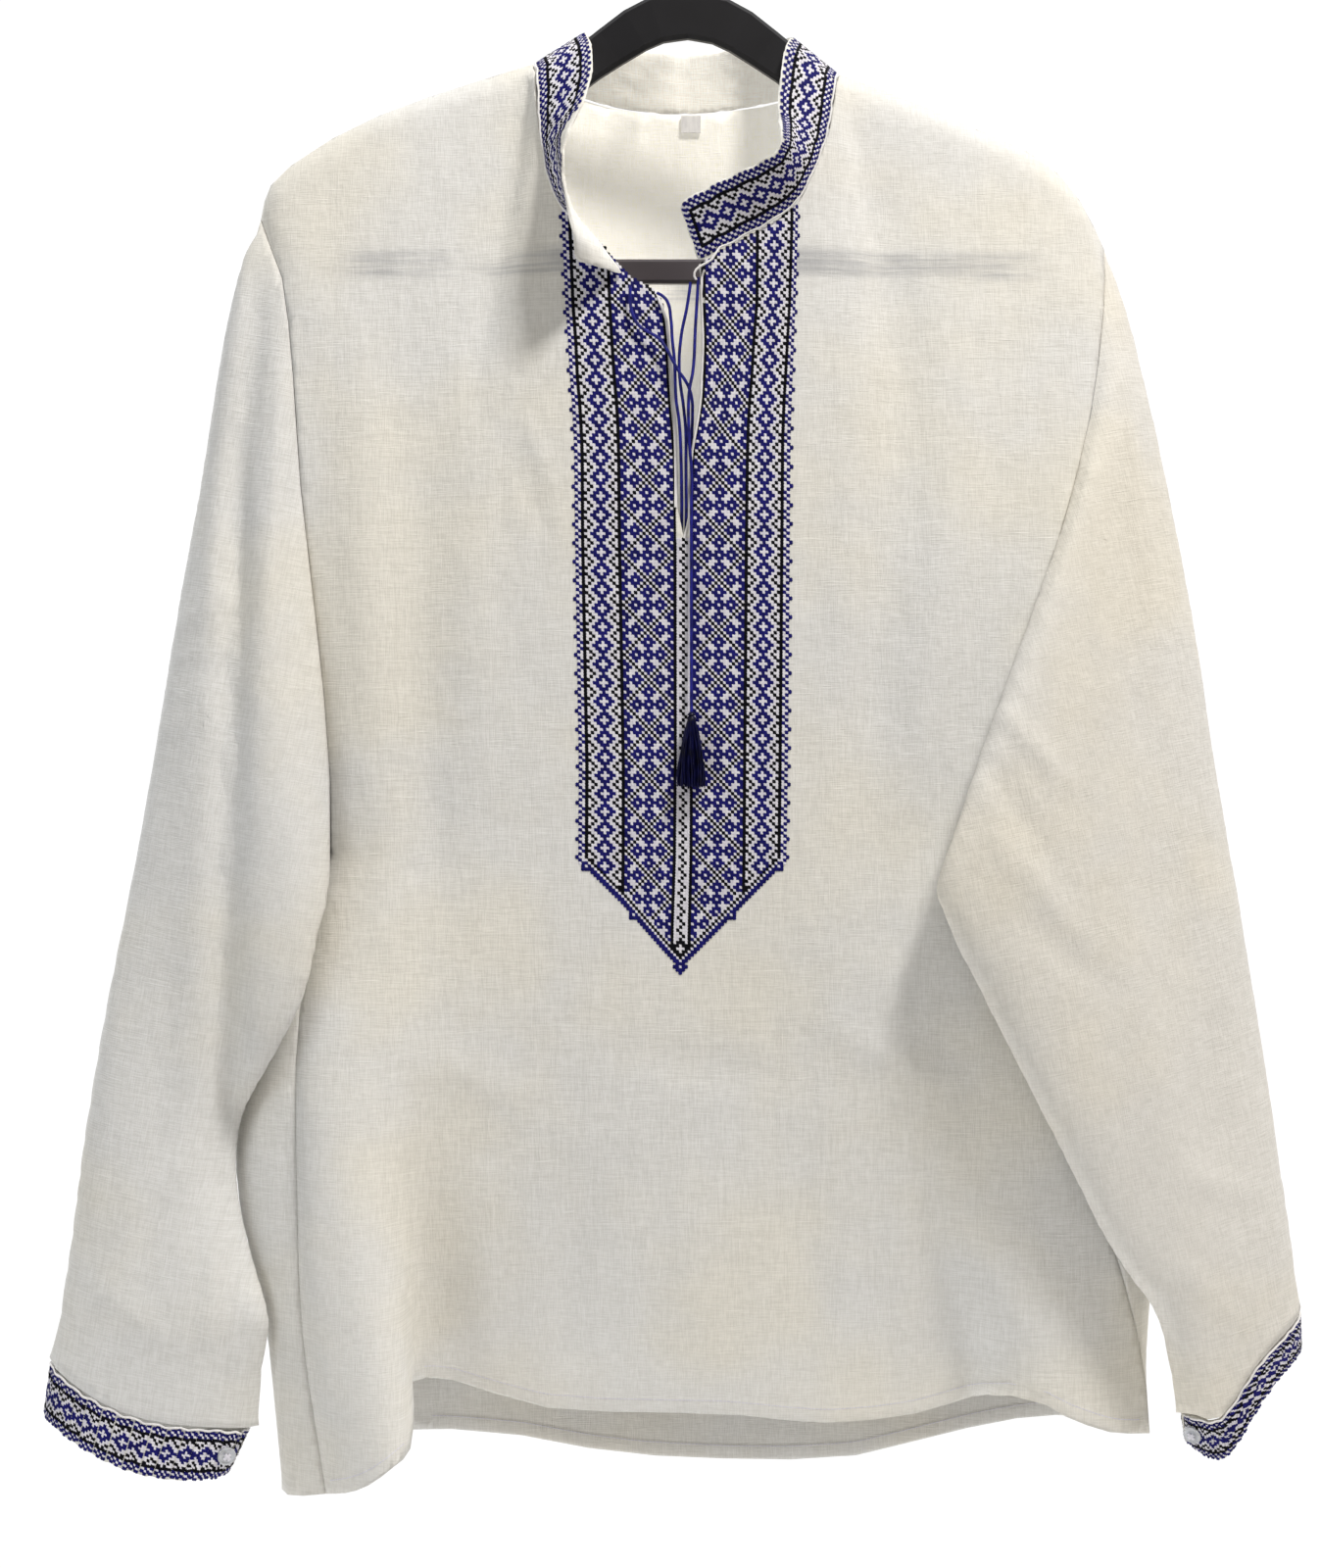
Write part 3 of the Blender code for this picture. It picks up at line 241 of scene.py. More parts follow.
def tassel(name, top, strands, spread, length, reach):
    """A wound head whose threads fan out below it, each bent its own way."""
    mesh = bmesh.new()
    crown = Matrix.Translation(Vector(top) * MM)
    bmesh.ops.create_uvsphere(mesh, u_segments=20, v_segments=24, radius=2.5 * MM)
    for vert in mesh.verts:
        ridge = 1 + 0.05 * math.sin(vert.co.z / MM * 7)
        pinch = 1 - 0.35 * math.exp(-((vert.co.z / MM - 0.6) / 0.5) ** 2)
        vert.co.x *= ridge * pinch
        vert.co.y *= ridge * pinch
        vert.co.z *= 1.15
    bmesh.ops.transform(mesh, matrix=crown @ Matrix.Translation((0, 0, -2.9 * MM)),
                        verts=mesh.verts)
    for number in range(strands):
        angle = number * 2.39996
        ring = math.sqrt((number + 0.5) / strands)
        wander = noise.noise(Vector((number * 0.7, reach, 0.3)))
        drop = length * (0.9 + 0.1 * noise.noise(Vector((number * 1.3, 0, reach)))) * MM
        turned = angle + 0.5 * wander
        face = bmesh.ops.create_circle(mesh, segments=4, radius=0.3 * MM, cap_ends=True)["verts"]
        start = Vector(top) * MM + Vector((math.cos(angle) * ring * 1.7, math.sin(angle) * ring
                                           * 1.7, -3.6)) * MM
        bmesh.ops.translate(mesh, vec=start, verts=face)
        end = bmesh.ops.extrude_face_region(mesh, geom=list(face[0].link_faces[:1]))
        for step in range(1, 6):
            share = step / 5
            swell = math.sin(share * math.pi / 2)
            target = start + Vector((math.cos(turned) * ring * spread[0] * swell,
                                     math.sin(turned) * ring * spread[1] * swell, 0)) * MM
            target.x += 0.5 * MM * math.sin(share * 5 + number)
            target.z = start.z - (drop - 3.6 * MM) * share
            tips = [item for item in end["geom"] if isinstance(item, bmesh.types.BMVert)]
            middle = sum((vert.co for vert in tips), Vector()) / len(tips)
            bmesh.ops.translate(mesh, vec=target - middle, verts=tips)
            if step < 5:
                caps = [item for item in end["geom"] if isinstance(item, bmesh.types.BMFace)]
                end = bmesh.ops.extrude_face_region(mesh, geom=caps)
                bmesh.ops.delete(mesh, geom=caps, context="FACES_ONLY")
    bmesh.ops.recalc_face_normals(mesh, faces=mesh.faces)
    piece = shown(name.replace("tassel", "threads"), mesh, night_silk)
    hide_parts(name)
    return piece


outer_tassel = tassel("tassel_outer", (1.3, -44, -460.4), 110, (6.2, 4.0), 43, 1.0)
inner_tassel = tassel("tassel_inner", (-1.9, -30.9, -415.4), 60, (4.0, 2.4), 40, 5.0)

for name, route in TIES.items():
    curve = bpy.data.curves.new(name + "_cord", "CURVE")
    curve.dimensions = "3D"
    curve.bevel_depth = TIE_DIAMETER / 2
    curve.bevel_resolution = 3
    curve.resolution_u = 6
    curve.use_fill_caps = True
    run = curve.splines.new("BEZIER")
    run.bezier_points.add(len(route) - 1)
    for point, place in zip(run.bezier_points, route):
        point.co = Vector(place) * MM
        point.handle_left_type = point.handle_right_type = "AUTO"
    cord = bpy.data.objects.new(name + "_cord", curve)
    bpy.context.scene.collection.objects.link(cord)
    curve.materials.append(blue_cord)
    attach(cord, "root")
    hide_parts(name)


# ---------------------------------------------------------------- linen
# Plain-woven half-bleached linen: uneven threads both ways, a few thick slubs,
# soft crumpling, and a painted grey shade where the hanger's bar stands behind
# the chest and back. Optional painted light: a tint for the colour of the light
# on a piece, and an emission glow for daylight coming through the cloth.
def linen_finish(name, turn=0.0, bar=False, painted_light_tint=(1, 1, 1, 1), painted_glow=0.0):
    made, shader, place = finish(name, 0.9, Specular_IOR_Level=0.2, Emission_Strength=painted_glow)
    threads = (place.streaks(0.5, 7, turn) + place.streaks(7, 0.5, turn)) * 0.38
    bands = (place.streaks(1.3, 40, turn) + place.streaks(40, 1.3, turn)) * 0.12
    weave = threads + bands
    slubs = place.streaks(0.8, 18, turn).ramped(0.68, 0.78) + place.streaks(18, 0.8, turn).ramped(
        0.68, 0.78)
    colour = weave.ramped(0.34, 0.66).between((0.715, 0.705, 0.67, 1), (0.845, 0.835, 0.805, 1))
    colour = (slubs * 0.5).between(colour, (0.92, 0.91, 0.89, 1))
    cloud = place.noise(9, 3).ramped(0.36, 0.66)
    stain = cloud.between((0.965, 0.975, 1.0, 1), (1.0, 0.985, 0.945, 1))
    # stain is the linen's random warm and cool tone; the tint multiplied in after it is painted
    # light colour.
    for other in (stain, painted_light_tint):
        colour = place.node("ShaderNodeMix", 2, {"data_type": "RGBA", "blend_type": "MULTIPLY"},
                            i0=1.0, i6=colour, i7=other)
    # Painted shade: where the hanger's bar stands behind the chest and back, a soft grey band is
    # painted into the linen's colour, as the bar's shadow seen through the thin cloth.
    if bar:
        split = place.node("ShaderNodeSeparateXYZ", 0, {}, i0=place)
        across = Tap(made.node_tree, split.socket.node.outputs["X"])
        upward = Tap(made.node_tree, split.socket.node.outputs["Z"])
        near = 1 - (upward + 0.2213 + across * 0.005).absolute().ramped(0.004, 0.0105)
        inside = 1 - across.absolute().ramped(0.165, 0.196)
        painted_bar_shade_patch = (place.streaks(40, 1.6) * 0.5 + place.noise(22) * 0.9).ramped(0.42, 0.95)
        colour = (near * inside * painted_bar_shade_patch * 0.62).between(colour, (0.30, 0.31, 0.34, 1))
    # Painted light: the linen glows by emission where the attribute "through" is 1, standing in
    # for daylight that comes through the cloth behind.
    if painted_glow:
        through = place.node("ShaderNodeAttribute", 2, {"attribute_name": "through"})
        painted_glow_colour = through.between((0, 0, 0, 1), colour)
        made.node_tree.links.new(painted_glow_colour.socket, shader.inputs["Emission Color"])
    crumple = place.streaks(16, 30, turn, 3)
    height = weave * 0.5 + slubs * 0.1 + crumple * 1.5
    return wire(made, shader, colour, height, 0.8, 0.0012)


def sewn_copy(node, folds, sides=None, grain=7.0, rounds=8, drift=0.8):
    """A finer copy of a cloth solid, faired, with its smaller folds pressed in.

    folds: x, z of a fold's two ends, its half width and its height, all in mm;
    height is towards the front. sides gives the middle depth of a tube, so that
    the folds of its front layer leave the back one alone. The attribute "through"
    is 1 inside the neck; it masks a painted glow that stands in for the daylight
    coming through the cloth behind.
    """
    mesh = bmesh.new()
    mesh.from_mesh(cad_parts[node].data)
    bmesh.ops.remove_doubles(mesh, verts=mesh.verts, dist=0.00001)
    rim = mesh.verts.layers.float.new("rim")
    for vert in mesh.verts:
        vert[rim] = float(min(edge.calc_length() for edge in vert.link_edges) < 1.7 * MM)
    for _ in range(4):
        coarse = [edge for edge in mesh.edges if edge.calc_length() > grain * MM]
        if not coarse:
            break
        bmesh.ops.subdivide_edges(mesh, edges=coarse, cuts=1)
        bmesh.ops.triangulate(mesh, faces=[face for face in mesh.faces if len(face.verts) > 4])
    soft = [vert for vert in mesh.verts if vert[rim] < 0.99]
    for _ in range(rounds):
        bmesh.ops.smooth_vert(mesh, verts=soft, factor=0.5, use_axis_x=True, use_axis_y=True,
                              use_axis_z=True)
    for vert in mesh.verts:
        x, z = vert.co.x / MM, vert.co.z / MM
        lift = drift * noise.noise(Vector((x / 60, 0.5 if vert.co.y < 0 else 9.5, z / 150)))
        for x_start, z_start, x_end, z_end, width, height in folds:
            run = Vector((x_end - x_start, z_end - z_start))
            gone = Vector((x - x_start, z - z_start))
            share = gone.dot(run) / run.length_squared
            if 0 < share < 1:
                away = abs(gone.x * run.y - gone.y * run.x) / run.length / width
                if away < 3:
                    lift += 1.5 * height * math.sin(math.pi * share) ** 0.7 * math.exp(
                        -away * away)
        weight = 1 - 0.9 * vert[rim]
        if sides is not None:
            depth = (sides(x, z) - vert.co.y / MM) / 9
            weight *= max(-1.0, min(1.0, depth))
        vert.co.y -= lift * weight * MM
    # Painted light mask: "through" is 1 on faces turned towards the middle of the shirt, fading
    # out from 290 to 400 mm down; the linen's emission glow reads it.
    through = mesh.verts.layers.float.new("through")
    mesh.normal_update()
    for vert in mesh.verts:
        inward = (Vector((0, 5 * MM, 0)) - vert.co).to_2d().normalized().dot(
            vert.normal.to_2d())
        height = (vert.co.z / MM + 400) / 110
        vert[through] = max(0.0, min(1.0, 2.5 * inward)) * max(0.0, min(1.0, height))
    return mesh


# ---------------------------------------------------------------- front and back
# Two cut widths of the same linen. The front has the slit and the stitched panel;
# long soft folds fall from the shoulders, short ones sit by the stitching.
FRONT_FOLDS = (
    (-178, -235, -160, -600, 16, 2.6), (-150, -250, -128, -640, 15, -2.0),
    (-120, -225, -108, -520, 12, 1.2), (-88, -300, -70, -345, 4, 0.9),
    (-96, -320, -72, -372, 4, -0.6), (-150, -640, -80, -668, 9, 1.0),
    (-110, -700, -112, -826, 13, 2.0), (-60, -690, -66, -836, 12, -1.6),
    (10, -700, 6, -836, 14, 1.6), (60, -680, 72, -836, 13, -1.4),
    (112, -690, 118, -830, 10, 1.5), (150, -235, 118, -520, 17, 2.4),
    (118, -230, 92, -560, 14, -1.8), (90, -240, 78, -480, 11, 1.0),
    (60, -620, 140, -660, 8, 0.9), (-40, -640, 60, -655, 10, -0.7),
    (150, -720, 176, -800, 8, 1.6), (128, -740, 160, -822, 7, -1.3),
)
BACK_FOLDS = (
    (-150, -220, -160, -620, 16, 2.4), (-100, -180, -110, -560, 15, -2.2),
    (-40, -160, -45, -620, 18, 1.6), (30, -160, 22, -640, 16, -1.8),
    (95, -190, 100, -600, 15, 2.2), (150, -240, 160, -560, 14, -2.0),
    (-120, -640, -126, -850, 14, 1.8), (-20, -650, -16, -860, 16, -1.6),
    (80, -650, 90, -850, 14, 1.6), (-170, -430, -110, -470, 8, 1.0),
)
# The front and back linen carry the painted grey shade of the hanger's bar.
body_linen = linen_finish("body_linen", bar=True)
front = shown("front_cloth", sewn_copy("front", FRONT_FOLDS), body_linen)
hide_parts("front")
# Painted light: the back's inner face in the neck glows, standing in for daylight through the
# cloth.
back_linen = linen_finish("back_linen", bar=True, painted_glow=0.42)
back = shown("back_cloth", sewn_copy("back", BACK_FOLDS), back_linen)
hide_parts("back")

# ---------------------------------------------------------------- sleeves
# Straight set-in sleeves, pressed flat by hanging. The right one lies over the
# front of the body. Creases run down from the armhole and across at the elbow.
LEFT_SLEEVE_FOLDS = (
    (-242, -232, -254, -420, 7, 2.2), (-228, -240, -240, -430, 6, -1.8),
    (-216, -262, -222, -420, 5, 1.4), (-278, -415, -236, -398, 5, 1.0),
    (-284, -440, -240, -436, 5, -0.9), (-292, -470, -246, -462, 5, 0.8),
    (-300, -560, -320, -740, 12, 1.6), (-272, -560, -286, -790, 10, -1.2),
    (-262, -690, -300, -730, 8, 1.2), (-320, -760, -262, -800, 7, 0.8),
    (-250, -720, -252, -800, 6, 1.6),
)
RIGHT_SLEEVE_FOLDS = (
    (152, -452, 200, -505, 5, 1.6), (146, -478, 190, -545, 5, -1.2),
    (150, -520, 205, -580, 6, 1.2), (160, -560, 226, -612, 7, -1.0),
    (232, -250, 246, -450, 8, 2.0), (246, -280, 262, -480, 7, -1.6),
    (222, -300, 214, -470, 8, 1.4), (226, -560, 262, -760, 12, 1.5),
    (258, -540, 294, -760, 10, -1.3), (250, -700, 300, -715, 7, 1.0),
    (246, -740, 300, -790, 6, 0.8),
)


def left_middle(x, z):
    return -2 if z > -560 else -6


def right_middle(x, z):
    return -10 - 0.28 * max(0.0, 250 - x)


# Painted light: the left sleeve is tinted cool as if lit by the window lamp, the right one warm
# as if lit by the key lamp.
left_sleeve_linen = linen_finish("left_sleeve_linen", math.radians(10), painted_light_tint=(0.985, 0.99, 1, 1))
right_sleeve_linen = linen_finish("right_sleeve_linen", math.radians(-12),
                                  painted_light_tint=(1, 0.985, 0.96, 1))
sleeve_left = shown("sleeve_left_cloth", sewn_copy("sleeve_left", LEFT_SLEEVE_FOLDS,
                                                   left_middle), left_sleeve_linen)
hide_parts("sleeve_left")
sleeve_right = shown("sleeve_right_cloth", sewn_copy("sleeve_right", RIGHT_SLEEVE_FOLDS,
                                                     right_middle), right_sleeve_linen)
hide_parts("sleeve_right")


# ---------------------------------------------------------------- collar and cuff bands
# Doubled white linen, stitched all over on the outside and left plain inside.
bands = {}
# Painted light: the collar's faces that look into the neck glow faintly, standing in for daylight
# through the cloth; the cuffs do not glow.
for node, painted_glow in (("collar", 0.3), ("cuff_left", 0.0), ("cuff_right", 0.0)):
    band_linen = linen_finish(node + "_linen", painted_glow=painted_glow)
    bands[node] = shown(node + "_cloth", sewn_copy(node, (), grain=5.0, rounds=3, drift=0.0),
                        band_linen)
    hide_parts(node)


# ---------------------------------------------------------------- cross stitch
# Every stitch is a cross of two thick cotton legs, the second over the first,
# in white, ultramarine or black. The charts say which thread fills which cell.
WHITE, BLUE, BLACK = "white", "blue", "black"
stitch_thread = {
    WHITE: thread_finish("white_stitch", (0.66, 0.65, 0.74, 1), (0.86, 0.85, 0.91, 1), 0.7),
    BLUE: thread_finish("blue_stitch", (0.003, 0.003, 0.07, 1), (0.011, 0.010, 0.17, 1), 0.65,
                        gloss=0.12),
    BLACK: thread_finish("black_stitch", (0.001, 0.001, 0.002, 1), (0.006, 0.006, 0.010, 1),
                         0.7, gloss=0.07),
}


STITCH_RISE = 1.5


def cross_shape(length, width, rise=1.0):
    """One stitch in a cell of side 1: corners of the faces of its two legs."""
    mesh = bmesh.new()
    for turn, height in ((math.pi / 4, 0.0), (-math.pi / 4, 0.04)):
        made = bmesh.ops.create_grid(mesh, x_segments=2, y_segments=2, size=0.5)["verts"]
        for vert in made:
            ridge = 0.16 if abs(vert.co.y) < 0.1 else 0.0
            arch = 0.12 if abs(vert.co.x) < 0.1 else 0.0
            vert.co = Vector((vert.co.x * length, vert.co.y * width,
                              (ridge + arch + height) * rise))
        bmesh.ops.rotate(mesh, verts=made, matrix=Matrix.Rotation(turn, 3, "Z"))
    mesh.verts.ensure_lookup_table()
    points = np.array([vert.co[:] for vert in mesh.verts])
    faces = np.array([[vert.index for vert in face.verts] for face in mesh.faces])
    mesh.free()
    return points, faces


def repeated(name, shape, places, material):
    """One mesh with the shape at every place: centre, right, up and out vectors."""
    points, faces = shape
    places = np.array([[vector[:] for vector in place] for place in places])
    centre, axes = places[:, 0], places[:, 1:]
    corners = centre[:, None, :] + np.einsum("pa,nac->npc", points, axes)
    count = len(points)
    linked = (faces[None] + count * np.arange(len(places))[:, None, None]).reshape(-1, 4)
    data = bpy.data.meshes.new(name)
    data.from_pydata(corners.reshape(-1, 3).tolist(), [], linked.tolist())
    data.shade_smooth()
    piece = bpy.data.objects.new(name, data)
    bpy.context.scene.collection.objects.link(piece)
    data.materials.append(material)
    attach(piece, "root")
    return piece


def tree_of(piece):
    return BVHTree.FromObject(piece, bpy.context.evaluated_depsgraph_get())


def worked(name, cells):
    """Stitch the cells of one panel: a list of (thread, place)."""
    made = []
    for thread, material in stitch_thread.items():
        places = [place for kind, place in cells if kind == thread]
        shape = cross_shape(1.2, 0.6) if thread == WHITE else cross_shape(1.46, 0.80, 1.2)
        made.append(repeated(f"{name}_{thread}", shape, places, material))
    return made


# Chest panel. Columns run from -3 to 69 and mirror about 33; rows count up
# from the white line of the point at the bottom.
CHEST_MIDDLE = 33
# row, height in mm
CHEST_ROWS = ((-6, -601.0), (4, -585.1), (20, -558.9), (36, -533.5), (68, -482.6),
              (148, -351.7), (180, -297.5), (196, -269.4), (212, -242.3), (228, -215.2),
              (246, -184.6))
# height, then x of columns -3, 0, 12, 30, 36, 54, 66 and 69, all in mm: along the
# slit the halves draw apart. The first and the last row carry the lines on.
MARKED_COLUMNS = (-3, 0, 12, 30, 36, 54, 66, 69)
CHEST_COLUMNS = (
    (-602, -59.5, -54.7, -35.4, -9.0, 0.0, 28.1, 46.6, 50.9),
    (-575, -59.2, -54.4, -35.0, -8.8, 0.3, 28.5, 46.9, 51.2),
    (-538, -58.8, -53.9, -34.5, -7.6, 1.2, 29.0, 47.4, 51.8),
    (-488, -58.5, -53.6, -34.4, -7.1, 1.4, 29.3, 47.9, 52.6),
    (-368, -60.4, -55.9, -36.5, -7.3, 1.7, 30.3, 48.9, 53.6),
    (-327, -60.9, -56.1, -36.8, -7.8, 2.2, 30.8, 49.3, 54.0),
    (-317, -61.1, -56.4, -37.1, -8.6, 3.2, 31.1, 49.4, 54.1),
    (-307, -61.6, -56.9, -37.4, -9.4, 5.3, 31.4, 49.8, 54.4),
    (-296, -62.2, -57.6, -38.1, -10.4, 7.4, 32.1, 50.2, 54.8),
    (-284, -63.2, -58.7, -39.2, -11.1, 8.1, 33.2, 51.0, 55.2),
    (-266, -64.1, -59.5, -40.4, -12.0, 8.6, 34.2, 52.0, 55.9),
    (-244, -65.7, -61.1, -41.7, -13.9, 8.0, 36.0, 53.3, 56.8),
    (-209, -67.3, -62.5, -43.0, -15.9, 8.0, 36.3, 54.4, 58.0),
    (-180, -68.4, -63.5, -44.0, -17.0, 8.0, 36.6, 55.0, 58.6))
SLIT_ROW = 137
# the two columns beside the slit, sewn narrower so that they stay on the cloth
SLIT_COLUMNS = (30, 36)
SLIT_STITCH = 0.6
SMALL_TRIANGLES = {(3, 3), (4, 2), (4, 4), (5, 1), (5, 5)}
STAR_POINTS = {(2, 2), (3, 2), (2, 3), (3, 3), (3, 4), (4, 3), (1, 2), (2, 1)}


def chest_side(column, row):
    """Narrow border: diamonds in a zigzag, six rows a repeat."""
    row = (row - 1) % 6
    near = min(row, 6 - row)
    distance = abs(column - 6)
    if distance + near <= 1:
        return WHITE
    if distance + near <= 3:
        return BLUE
    return BLACK if (distance, row) in SMALL_TRIANGLES else WHITE


def chest_fringe(column, row):
    """Picot edge outside the border."""
    row = (row - 1) % 6
    near = min(row, 6 - row)
    if (column, near) in ((-2, 0), (-1, 1), (-2, 2), (-3, 3)):
        return BLUE
    if (column, near) in ((-1, 0), (-2, 1), (-1, 2), (-1, 3), (-2, 3)):
        return WHITE
    return None


def chest_star(column, row):
    """Wide border: stars in a black lattice, sixteen rows a repeat, half drop."""
    across = column - 21
    upward = (row - 4 + 8) % 16 - 8
    if abs(across) + abs(upward) > 8:
        across = across - 8 if across > 0 else across + 8
        upward = upward - 8 if upward > 0 else upward + 8
    across, upward = abs(across), abs(upward)
    distance = across + upward
    if distance == 8:
        return BLACK
    if distance == 7:
        return WHITE
    for middle in ((0, 0), (4, 0), (0, 4)):
        apart = abs(across - middle[0]) + abs(upward - middle[1])
        if apart == 0:
            return WHITE
        if apart <= 2 and (across, upward) not in STAR_POINTS:
            return BLUE
    return WHITE if (across, upward) in STAR_POINTS else BLUE


def chest_thread(column, row):
    """Thread of one cell, or None where the linen is left bare."""
    out = abs(column - CHEST_MIDDLE)
    inner = CHEST_MIDDLE - out
    above = row - out
    for middle, level in ((33, -2), (16, 15), (0, 31)):
        across = abs(inner - middle)
        upward = abs(row - level)
        apart = across + upward if middle == CHEST_MIDDLE else 2 * max(across, upward)
        if apart == 0:
            return WHITE
        if apart <= 2 and above < 0:
            return BLUE
    if inner < 0:
        return chest_fringe(inner, row) if row >= 32 else None
    if above < -2:
        return None
    if above < 0:
        return BLUE
    if above <= 1:
        return (WHITE, BLACK)[above]
    if out <= 3 and out + abs(row - 4) <= 3:
        return WHITE if out + abs(row - 4) <= 1 else BLACK
    if out < 3:
        if row > SLIT_ROW:
            return None
        return BLACK if column - CHEST_MIDDLE == (1, 0, -1, 0)[row % 4] else WHITE
    if out == 3 or inner in (0, 12):
        return BLACK
    if inner < 12:
        return chest_side(inner, row)
    return WHITE if above == 2 else chest_star(inner, row)


def read(table, place):
    """Linear reading of a table whose first column is the place."""
    for low, high in zip(table, table[1:]):
        if place <= high[0]:
            break
    share = (place - low[0]) / (high[0] - low[0])
    return [before + (after - before) * share for before, after in zip(low[1:], high[1:])]


def chest_x(column, marked):
    """Place of a column and its width, from the x of the marked columns."""
    for left, right, low, high in zip(MARKED_COLUMNS, MARKED_COLUMNS[1:], marked, marked[1:]):
        if column <= right:
            break
    pitch = (high - low) / (right - left)
    return low + (column - left) * pitch, pitch


front_tree = tree_of(front)
cells = []
for row in range(-4, 246):
    height = read(CHEST_ROWS, row)[0]
    rise = read(CHEST_ROWS, row + 1)[0] - height
    edges = read(CHEST_COLUMNS, height)
    for column in range(-3, 2 * CHEST_MIDDLE + 4):
        thread = chest_thread(column, row)
        if thread is None:
            continue
        x, pitch = chest_x(column, edges)
        if column in SLIT_COLUMNS and row >= SLIT_ROW:
            pitch *= SLIT_STITCH
        hit, normal = front_tree.ray_cast(Vector((x * MM, -0.4, height * MM)),
                                          Vector((0, 1, 0)))[:2]
        if hit is None or normal.y > -0.45:
            continue
        right = (Vector((1, 0, 0)) - normal * normal.x).normalized()
        cells.append((thread, (hit + normal * 0.05 * MM, right * pitch * MM,
                               normal.cross(right) * rise * MM, normal * STITCH_RISE * MM)))
chest_work = worked("chest_stitch", cells)

# Collar. Its band stands on the neckline, from the left end of the slit round
# the back to the right end.
# columns: x, y, z in mm along the neckline
NECKLINE = (
    (-16, -33, -238), (-27, -33, -234), (-39, -33, -221), (-51, -32, -207), (-60, -31, -199),
    (-68, -30, -192), (-74, -28, -178), (-79, -24, -155), (-82, -19, -131), (-82.5, -15, -122),
    (-83.5, -8, -112), (-84, 3, -108), (-80, 18, -111), (-70, 35, -115), (-54, 46, -118),
    (-30, 51, -122), (-1, 52, -123), (28, 51, -121), (52, 46, -118), (68, 34, -116),
    (78, 18, -114), (82, 3, -114), (81, -8, -118), (79, -15, -129), (77, -19, -141),
    (74, -23, -155), (67, -28, -172), (59, -31, -189), (47, -32, -200), (27, -33, -211),
    (5, -34, -224))
# share of the neckline, direction in which the band stands
COLLAR_LEAN = (
    (0.000, -0.79, -0.60, 0.12), (0.035, -0.46, -0.88, 0.05), (0.070, -0.23, -0.97, 0.05),
    (0.093, -0.03, -0.93, 0.36), (0.114, 0.17, -0.90, 0.40), (0.145, 0.32, -0.90, 0.27),
    (0.190, 0.69, -0.71, 0.12), (0.240, 0.92, -0.20, 0.31), (0.293, 0.84, 0.00, 0.54),
    (0.350, 0.66, -0.30, 0.68), (0.400, 0.32, -0.45, 0.83), (0.450, 0.10, -0.15, 0.97),
    (0.500, 0.00, 0.05, 0.99), (0.550, -0.10, -0.10, 0.97), (0.606, -0.32, -0.45, 0.83),
    (0.660, -0.68, -0.30, 0.68), (0.710, -0.79, 0.00, 0.62), (0.740, -0.83, -0.30, 0.40),
    (0.768, -0.88, -0.42, 0.18), (0.797, -0.84, -0.52, 0.08), (0.838, -0.56, -0.73, 0.36),
    (0.875, -0.37, -0.70, 0.58), (0.905, -0.39, -0.54, 0.73), (0.950, -0.33, -0.38, 0.86),
    (1.000, -0.33, -0.25, 0.91))
BAND_CELL = 1.72
BAND_EDGE = 9
# near the left end of the collar the band is sewn only up to this row
COLLAR_END, COLLAR_END_ROW = 0.11, 5


def band_thread(along, across):
    """Band of 19 rows, from -9 to 9 across; six stitches a repeat along."""
    level = abs(across)
    along %= 6
    near = min(along, 6 - along)
    if level == 9:
        return BLUE if along % 2 == 0 else None
    if level >= 7:
        return BLUE if (along + level) % 2 else WHITE
    if level == 6:
        return BLACK
    if level + near <= 1:
        return WHITE
    if level + near <= 3:
        return BLUE
    return BLACK if (level, along) in SMALL_TRIANGLES else WHITE


def smooth_path(points, step):
    """Places a step apart on the smooth curve through the points, in metres."""
    dense = []
    last = len(points) - 1
    for index in range(last):
        a, b, c, d = (Vector(points[min(max(index + shift, 0), last)])
                      for shift in (-1, 0, 1, 2))
        for part in range(24):
            t = part / 24
            dense.append(0.5 * MM * (2 * b + (c - a) * t + (2 * a - 5 * b + 4 * c - d) * t * t
                                     + (3 * b - a - 3 * c + d) * t ** 3))
    dense.append(Vector(points[-1]) * MM)
    walked, marks = 0.0, [(dense[0], 0.0)]
    for before, after in zip(dense, dense[1:]):
        stretch = (after - before).length
        while walked + stretch >= len(marks) * step * MM:
            share = (len(marks) * step * MM - walked) / stretch
            marks.append((before.lerp(after, share), len(marks) * step * MM))
        walked += stretch
    return [(place, gone / walked) for place, gone in marks]


def lean_at(share):
    for low, high in zip(COLLAR_LEAN, COLLAR_LEAN[1:]):
        if share <= high[0]:
            break
    part = (share - low[0]) / (high[0] - low[0])
    return Vector(low[1:]).lerp(Vector(high[1:]), part).normalized()


def band_column(tree, base, lean, out, reach, rows):
    """Where the rows of one column of stitches lie on a band, and its face there."""
    found = []
    for step in range(int(reach / 0.5)):
        start = base + lean * (step * 0.5 * MM) + out * 7 * MM
        hit, normal = tree.ray_cast(start, -out, 13 * MM)[:2]
        if hit is not None and normal.dot(out) > 0.3:
            found.append((hit, normal))
    if len(found) < 30:
        return {}
    column = {}
    for row in rows:
        place = (row + 9.9) / 19.8 * (len(found) - 1)
        low = int(place)
        high = min(low + 1, len(found) - 1)
        column[row] = (found[low][0].lerp(found[high][0], place - low),
                       found[low][1].lerp(found[high][1], place - low).normalized())
    return column


